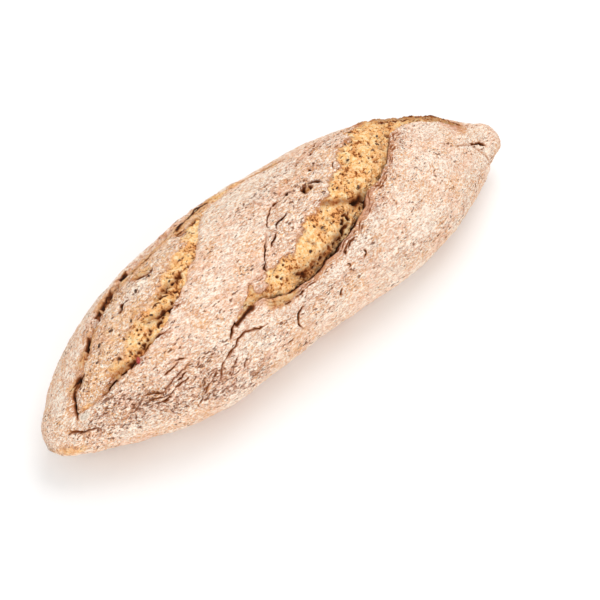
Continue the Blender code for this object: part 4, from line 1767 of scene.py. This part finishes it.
def vein_group() -> bpy.types.NodeTree:
    """Fine winding lines, where a dry floury skin has crazed.

    Returns:
        A group that turns Place, Density and Width into a Mask, 1 on a line.
    """
    sheet = effect_group(
        "crazed skin", {"Place": (0.0, 0.0, 0.0), "Density": 300.0, "Width": 0.03}, ("Mask",)
    )
    given = sheet.tree.nodes["Inputs"].outputs
    inputs = {"Vector": given["Place"], "Scale": sheet.times(given["Density"], 2.0)}
    wobble = sheet.node("ShaderNodeTexNoise", None, inputs).outputs["Color"]
    inputs = {0: wobble, 1: (0.0022,) * 3, 2: given["Place"]}
    moved = sheet.node("ShaderNodeVectorMath", {"operation": "MULTIPLY_ADD"}, inputs)
    border = sheet.cells(moved.outputs[0], given["Density"], "DISTANCE_TO_EDGE")
    winding = sheet.noise(given["Place"], given["Density"], 3.0, 0.6)
    away = sheet.maths("ABSOLUTE", sheet.less(winding, 0.5))
    line = sheet.most(sheet.step(away, given["Width"], 0.0), sheet.step(border, given["Width"], 0.0))
    broken = Mottling(sheet.times(given["Density"], 1.4), 1.0, 0.5, 0.38, 0.52)
    mask = sheet.times(line, broken.on(sheet, given["Place"]))
    sheet.feed(sheet.tree.nodes["Outputs"].inputs["Mask"], mask)
    return sheet.tree


def relief_group() -> bpy.types.NodeTree:
    """The fine grain of bread: lumps, flakes and grit.

    Returns:
        A group that turns Place and Density into a Height from 0 to 1.
    """
    sheet = effect_group("bread grain", {"Place": (0.0, 0.0, 0.0), "Density": 800.0}, ("Height",))
    given = sheet.tree.nodes["Inputs"].outputs
    lumps = sheet.noise(given["Place"], given["Density"], 4.0, 0.7)
    grit = sheet.cells(given["Place"], sheet.times(given["Density"], 2.6))
    height = sheet.plus(sheet.times(lumps, 0.8), sheet.times(grit, 0.2))
    sheet.feed(sheet.tree.nodes["Outputs"].inputs["Height"], height)
    return sheet.tree


class BreadEffects:
    """The node groups that the bread's finishes share, each built once."""

    def __init__(self) -> None:
        """Builds the groups."""
        self.flour = flour_group()
        self.flecks = fleck_group()
        self.veins = vein_group()
        self.relief = relief_group()


@dataclass(frozen=True)
class BreadFinish:
    """Matt bread: a baked ground that flour dusts over, golden where it tore, with painted shade in its
    cracks and hollows.
    """

    name: str
    crust: tuple = tone(247, 207, 182)
    crust_tan: tuple = tone(234, 178, 126)
    crust_baked: tuple = tone(172, 92, 50)
    crumb: tuple = tone(248, 190, 120)
    crumb_light: tuple = tone(253, 229, 182)
    crumb_orange: tuple = tone(238, 154, 74)
    # the brown of baked crumb, and of light painted shade in cracks and hollows
    crumb_baked: tuple = tone(132, 68, 28)
    flour: tuple = tone(254, 241, 224)
    vein: tuple = tone(156, 82, 40)
    vein_pale: tuple = tone(192, 118, 74)
    fleck: tuple = tone(118, 64, 34)
    # the near black of painted shade deep in cracks, crevices, pores and hollows
    dark: tuple = tone(46, 22, 10)
    large_tan: Mottling = Mottling(75.0, 3.0, 0.6, 0.38, 0.66)
    fine_tan: Mottling = Mottling(640.0, 2.0, 0.6, 0.40, 0.62)
    orange: Mottling = Mottling(160.0, 4.0, 0.7, 0.46, 0.62)
    tan_shares: tuple[float, float] = (0.60, 0.45)  # of the large and of the fine patches
    crumb_grain: float = 520.0  # lumps of the crumb's colour to a metre
    light_levels: tuple[float, float] = (0.45, 0.58)  # the levels of that grain where it is light
    orange_share: float = 0.75
    brown_level: float = 0.325  # the level of the grain below which it is brown
    brown_spread: float = 0.12  # how much higher that level is in orange patches
    brown_softness: float = 0.07
    baked_brown: float = 0.85  # how brown baked crumb is
    streak_turn: float = -22.0  # how the crust's grain lies, in degrees about Z
    streak_lengths: tuple[float, float, float] = (2.2, 1.0, 1.0)
    cover: float = 0.52  # how much flour lies on the crust
    flaked_cover: float = 0.06  # how much more there is on flaked skin, as in the next two
    clumping: tuple[float, float] = (0.5, 0.25)
    speckling: tuple[float, float] = (2.0, 1.8)
    sole_bare: float = 0.35  # how much of it the underside lacks
    sole_height: float = 0.0050
    flaked_baked: float = 0.05  # how browned flaked skin is
    dry_levels: tuple[float, float] = (0.1, 0.8)  # how flaked the skin is where it begins to be dry, and is
    crusty_steps: tuple[float, ...] = (0.4, 0.9, 1.0, 0.15)  # how golden it is, and the veins left there
    vein_width: float = 0.045
    vein_strength: float = 0.8
    hairlines: float = 520.0  # cells between hairlines to a metre
    hairline_width: tuple[float, float] = (0.015, 0.038)  # more on dry skin, and what all skin has
    hairline_strength: tuple[float, float] = (0.20, 0.80)
    vein_cover: float = 0.9
    fleck_amount: float = 0.085
    gold_flecks: float = -0.06  # the change on golden crumb
    dry_flecks: float = 0.18  # and on dry skin
    fleck_cover: float = 0.85
    gap_levels: tuple[float, float] = (0.05, 0.55)  # how strong the painted shade is where it turns brown
    dark_levels: tuple[float, float] = (0.35, 0.95)  # and where that painted shade turns near black
    grain_depth: float = 0.0005
    dent_share: float = 0.25  # how deep veins and flecks are dented in the grain
    roughness: float = 0.9
    shine: float = 0.18

    def ground(self, sheet: NodeSheet, place: object, baked: object, gold: object) -> object:
        """The baked ground under the flour: crust, or torn crumb where it is golden.

        Args:
            sheet: the material's nodes.
            place: the place on the bread.
            baked: how browned it is, with painted shade in dips of the crumb and down the slash walls.
            gold: how far it is torn crumb.

        Returns:
            The colour.
        """
        large, fine = self.large_tan.on(sheet, place), self.fine_tan.on(sheet, place)
        tan = sheet.plus(sheet.times(large, self.tan_shares[0]), sheet.times(fine, self.tan_shares[1]))
        crust = sheet.blend(baked, sheet.blend(tan, self.crust, self.crust_tan), self.crust_baked)
        mottle = sheet.noise(place, self.crumb_grain, 4.0, 0.78)
        crumb = sheet.blend(sheet.step(mottle, *self.light_levels), self.crumb, self.crumb_light)
        orange = self.orange.on(sheet, place)
        crumb = sheet.blend(sheet.times(orange, self.orange_share), crumb, self.crumb_orange)
        level = sheet.plus(self.brown_level, sheet.times(orange, self.brown_spread))
        brown = sheet.step(mottle, sheet.plus(level, self.brown_softness), level)
        brown = sheet.most(brown, sheet.times(baked, self.baked_brown))
        return sheet.blend(gold, crust, sheet.blend(brown, crumb, self.crumb_baked))

    def flour_mask(self, sheet: NodeSheet, effects: BreadEffects, place: object, streaky: object) -> object:
        """Where flour lies.

        Args:
            sheet: the material's nodes.
            effects: the shared node groups.
            place: the place on the bread.
            streaky: the same, stretched along the crust's grain.

        Returns:
            The mask, 1 where flour lies.
        """
        height = sheet.node("ShaderNodeSeparateXYZ", None, {0: place}).outputs["Z"]
        sole = sheet.step(height, self.sole_height, 0.0)
        flaked = sheet.paint(Paint.FLAKED)
        cover = sheet.less(self.cover, sheet.paint(Paint.BARE))
        cover = sheet.less(cover, sheet.times(sole, self.sole_bare))
        inputs = {"Place": streaky, "Cover": sheet.rising(flaked, self.flaked_cover, cover)}
        inputs["Clumping"] = sheet.rising(flaked, *self.clumping)
        inputs["Speckling"] = sheet.rising(flaked, *self.speckling)
        return sheet.group(effects.flour, inputs)

    def material(self, effects: BreadEffects) -> bpy.types.Material:
        """Builds the material.

        Args:
            effects: the shared node groups.

        Returns:
            The material, which reads the piece's paint.
        """
        material, sheet, shader = started_material(self.name, self.roughness)
        shader.inputs["Specular IOR Level"].default_value = self.shine
        place = sheet.node("ShaderNodeTexCoord").outputs["Object"]
        streaky = sheet.stretched(place, self.streak_turn, self.streak_lengths)
        gap, gold, flaked = (sheet.paint(paint) for paint in (Paint.PAINTED_SHADE, Paint.GOLD, Paint.FLAKED))
        # Browning, which also holds painted shade in dips of the crumb and down the slash walls
        baked = sheet.most(sheet.paint(Paint.BAKED_AND_SHADE), sheet.times(flaked, self.flaked_baked))
        color = self.ground(sheet, place, baked, gold)
        color = sheet.blend(self.flour_mask(sheet, effects, place, streaky), color, self.flour)

        crusty = sheet.step(gold, *self.crusty_steps)
        dry = sheet.step(flaked, *self.dry_levels)
        inputs = {"Place": streaky, "Width": sheet.times(flaked, self.vein_width)}
        veins = sheet.times(sheet.group(effects.veins, inputs), self.vein_strength)
        inputs = {"Place": streaky, "Width": sheet.rising(dry, *self.hairline_width)}
        inputs["Density"] = self.hairlines
        hairlines = sheet.group(effects.veins, inputs)
        hairlines = sheet.times(hairlines, sheet.rising(dry, *self.hairline_strength))
        veins = sheet.times(sheet.most(veins, hairlines), crusty)
        vein = sheet.blend(dry, self.vein_pale, self.vein)
        color = sheet.blend(sheet.times(veins, self.vein_cover), color, vein)
        amount = sheet.rising(gold, self.gold_flecks, self.fleck_amount)
        amount = sheet.rising(dry, self.dry_flecks, amount)
        flecks = sheet.group(effects.flecks, {"Place": streaky, "Amount": amount})
        color = sheet.blend(sheet.times(flecks, self.fleck_cover), color, self.fleck)
        # Painted shade in cracks, crevices, pores and hollows: brown, then near black
        color = sheet.blend(sheet.step(gap, *self.gap_levels), color, self.crumb_baked)
        color = sheet.blend(sheet.step(gap, *self.dark_levels), color, self.dark)
        sheet.feed(shader.inputs["Base Color"], color)

        grain = sheet.group(effects.relief, {"Place": streaky})
        dents = sheet.plus(sheet.times(veins, self.dent_share), sheet.times(flecks, self.dent_share))
        sheet.dented(shader, sheet.less(grain, dents), self.grain_depth)
        return material


@dataclass(frozen=True)
class GrainFinish:
    """Dull grains and crumbs, speckled between two colours."""

    name: str
    ground: tuple
    light: tuple
    specks: float = 1500.0
    speck_levels: tuple[float, float] = (0.40, 0.62)
    roughness: float = 0.7
    grain_depth: float = 0.0002

    def material(self, effects: BreadEffects) -> bpy.types.Material:
        """Builds the material with the shared node groups.

        Args:
            effects: the shared node groups.

        Returns:
            The material.
        """
        material, sheet, shader = started_material(self.name, self.roughness)
        place = sheet.node("ShaderNodeTexCoord").outputs["Object"]
        mottle = sheet.step(sheet.noise(place, self.specks), *self.speck_levels)
        sheet.feed(shader.inputs["Base Color"], sheet.blend(mottle, self.ground, self.light))
        grain = sheet.group(effects.relief, {"Place": place, "Density": self.specks})
        sheet.dented(shader, grain, self.grain_depth)
        return material


# ---------------------------------------------------------------- the studio


@dataclass(frozen=True)
class Studio:
    """A pale floor, soft light from above and a camera that looks down at the loaf's left front."""

    heading: float = 42.365
    elevation: float = 50.0
    distance: float = 0.99561
    target: tuple[float, float, float] = (-0.009622, -0.026503, 0.03)
    lit_point: tuple[float, float, float] = (0.0, 0.0, 0.03)
    lens: float = 120.0
    floor_size: float = 8.0
    floor_mottling: Mottling = Mottling(9.0, 2.0, 0.5, 0.3, 0.7)
    floor_tones: tuple[tuple, tuple] = (tone(252, 252, 252), tone(254, 254, 254))
    sky: float = 0.75
    key_place: tuple[float, float, float] = (0.55, 0.25, 1.15)
    key_size: float = 0.9
    key_power: float = 6.3
    fill_place: tuple[float, float, float] = (-0.75, -1.0, 0.7)
    fill_size: float = 1.2
    fill_power: float = 6.9

    def aim(self, thing: bpy.types.Object, place: Vector, target: Vector) -> None:
        """Puts a lamp or camera at a place, looking at the target."""
        thing.location = place
        thing.rotation_euler = (place - target).to_track_quat("Z", "Y").to_euler()

    def camera(self) -> bpy.types.Object:
        """Makes the camera that frames the loaf.

        Returns:
            The camera.
        """
        heading, elevation = math.radians(self.heading), math.radians(self.elevation)
        level = math.cos(elevation)
        back = Vector((-math.sin(heading) * level, -math.cos(heading) * level, math.sin(elevation)))
        lens = bpy.data.cameras.new("camera")
        lens.lens = self.lens
        camera = bpy.data.objects.new("camera", lens)
        bpy.context.scene.collection.objects.link(camera)
        target = Vector(self.target)
        self.aim(camera, target + back * self.distance, target)
        bpy.context.scene.camera = camera
        return camera

    def lamp(self, name: str, place: tuple[float, float, float], size: float, power: float) -> None:
        """Adds a large soft lamp that looks at the loaf.

        Args:
            name: the lamp's name.
            place: where it stands.
            size: how wide it is, in metres.
            power: how bright it is, in watts.
        """
        light = bpy.data.lights.new(name, "AREA")
        light.shape, light.size, light.energy = "SQUARE", size, power
        lamp = bpy.data.objects.new(name, light)
        bpy.context.scene.collection.objects.link(lamp)
        self.aim(lamp, Vector(place), Vector(self.lit_point))

    def floor(self) -> bpy.types.Object:
        """Adds the pale floor.

        Returns:
            The floor.
        """
        deselect_all()
        bpy.ops.mesh.primitive_plane_add(size=self.floor_size)
        floor = bpy.context.object
        floor.name = "floor"
        material, sheet, shader = started_material("pale floor", 0.9)
        place = sheet.node("ShaderNodeTexCoord").outputs["Object"]
        color = sheet.blend(self.floor_mottling.on(sheet, place), *self.floor_tones)
        sheet.feed(shader.inputs["Base Color"], color)
        floor.data.materials.append(material)
        return floor

    def build(self) -> bpy.types.Object:
        """Sets up the camera, the light and the floor.

        Returns:
            The floor.
        """
        scene = bpy.context.scene
        scene.view_settings.view_transform = "Standard"
        self.camera()
        self.lamp("key light", self.key_place, self.key_size, self.key_power)
        self.lamp("fill light", self.fill_place, self.fill_size, self.fill_power)
        world = bpy.data.worlds.new("bright room")
        scene.world = world
        world.use_nodes = True
        background = world.node_tree.nodes["Background"]
        background.inputs["Color"].default_value = (1.0, 1.0, 1.0, 1.0)
        background.inputs["Strength"].default_value = self.sky
        return self.floor()


# ---------------------------------------------------------------- the build


def dress(pieces: dict[str, bpy.types.Object], effects: BreadEffects) -> None:
    """Gives every piece of the loaf its finish.

    Args:
        pieces: the loaf's pieces by name.
        effects: the shared node groups.
    """
    bread = BreadFinish("floury bread").material(effects)
    finishes = {
        "dark_grains": GrainFinish("dark grain", tone(52, 30, 18), tone(112, 76, 50)).material(effects),
        "red_grain": GrainFinish("red grain", tone(150, 42, 40), tone(196, 84, 70)).material(effects),
        "pale_grain": GrainFinish("pale grain", tone(196, 176, 156), tone(236, 224, 208)).material(effects),
        "loose_crumbs": GrainFinish("loose crumb", tone(206, 140, 84), tone(250, 222, 172)).material(effects),
    }
    for name, piece in pieces.items():
        piece.data.materials.clear()
        piece.data.materials.append(finishes.get(name, bread))


def place_on_loaf(piece: bpy.types.Object) -> None:
    """Lets a piece ride with the loaf and stands it for the plain solid.

    Args:
        piece: the piece.
    """
    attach(piece, BODY)
    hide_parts(NODE)
    logging.info("%s: %d faces", piece.name, len(piece.data.polygons))


def main() -> None:
    """Builds the studio and the loaf, piece by piece."""
    logging.basicConfig(level=logging.INFO, format="%(asctime)s %(message)s")
    studio = Studio()
    studio.build()
    crust = Crust()
    pieces = {"crust": crust.build()}
    crumbs = (
        TornCrumb("crumb_middle", MIDDLE_SLASH, columns=900, rows=190, kept=150000),
        TornCrumb("crumb_left", LEFT_SLASH, columns=680, rows=150, kept=110000),
    )
    for crumb in crumbs:
        pieces[crumb.name] = crumb.build(crust.middle)
    bread, grains = list(pieces.values()), Grains()
    pieces["dark_grains"] = grains.build("dark_grains", GRAINS, crust.middle, bread)
    pieces["red_grain"] = grains.build("red_grain", RED_GRAINS, crust.middle, bread)
    pieces["pale_grain"] = grains.build("pale_grain", PALE_GRAINS, crust.middle, bread)
    pieces["loose_crumbs"] = grains.build("loose_crumbs", grains.strewn(), crust.middle, bread)
    dress(pieces, BreadEffects())
    for piece in pieces.values():
        place_on_loaf(piece)


if __name__ == "__main__":
    main()
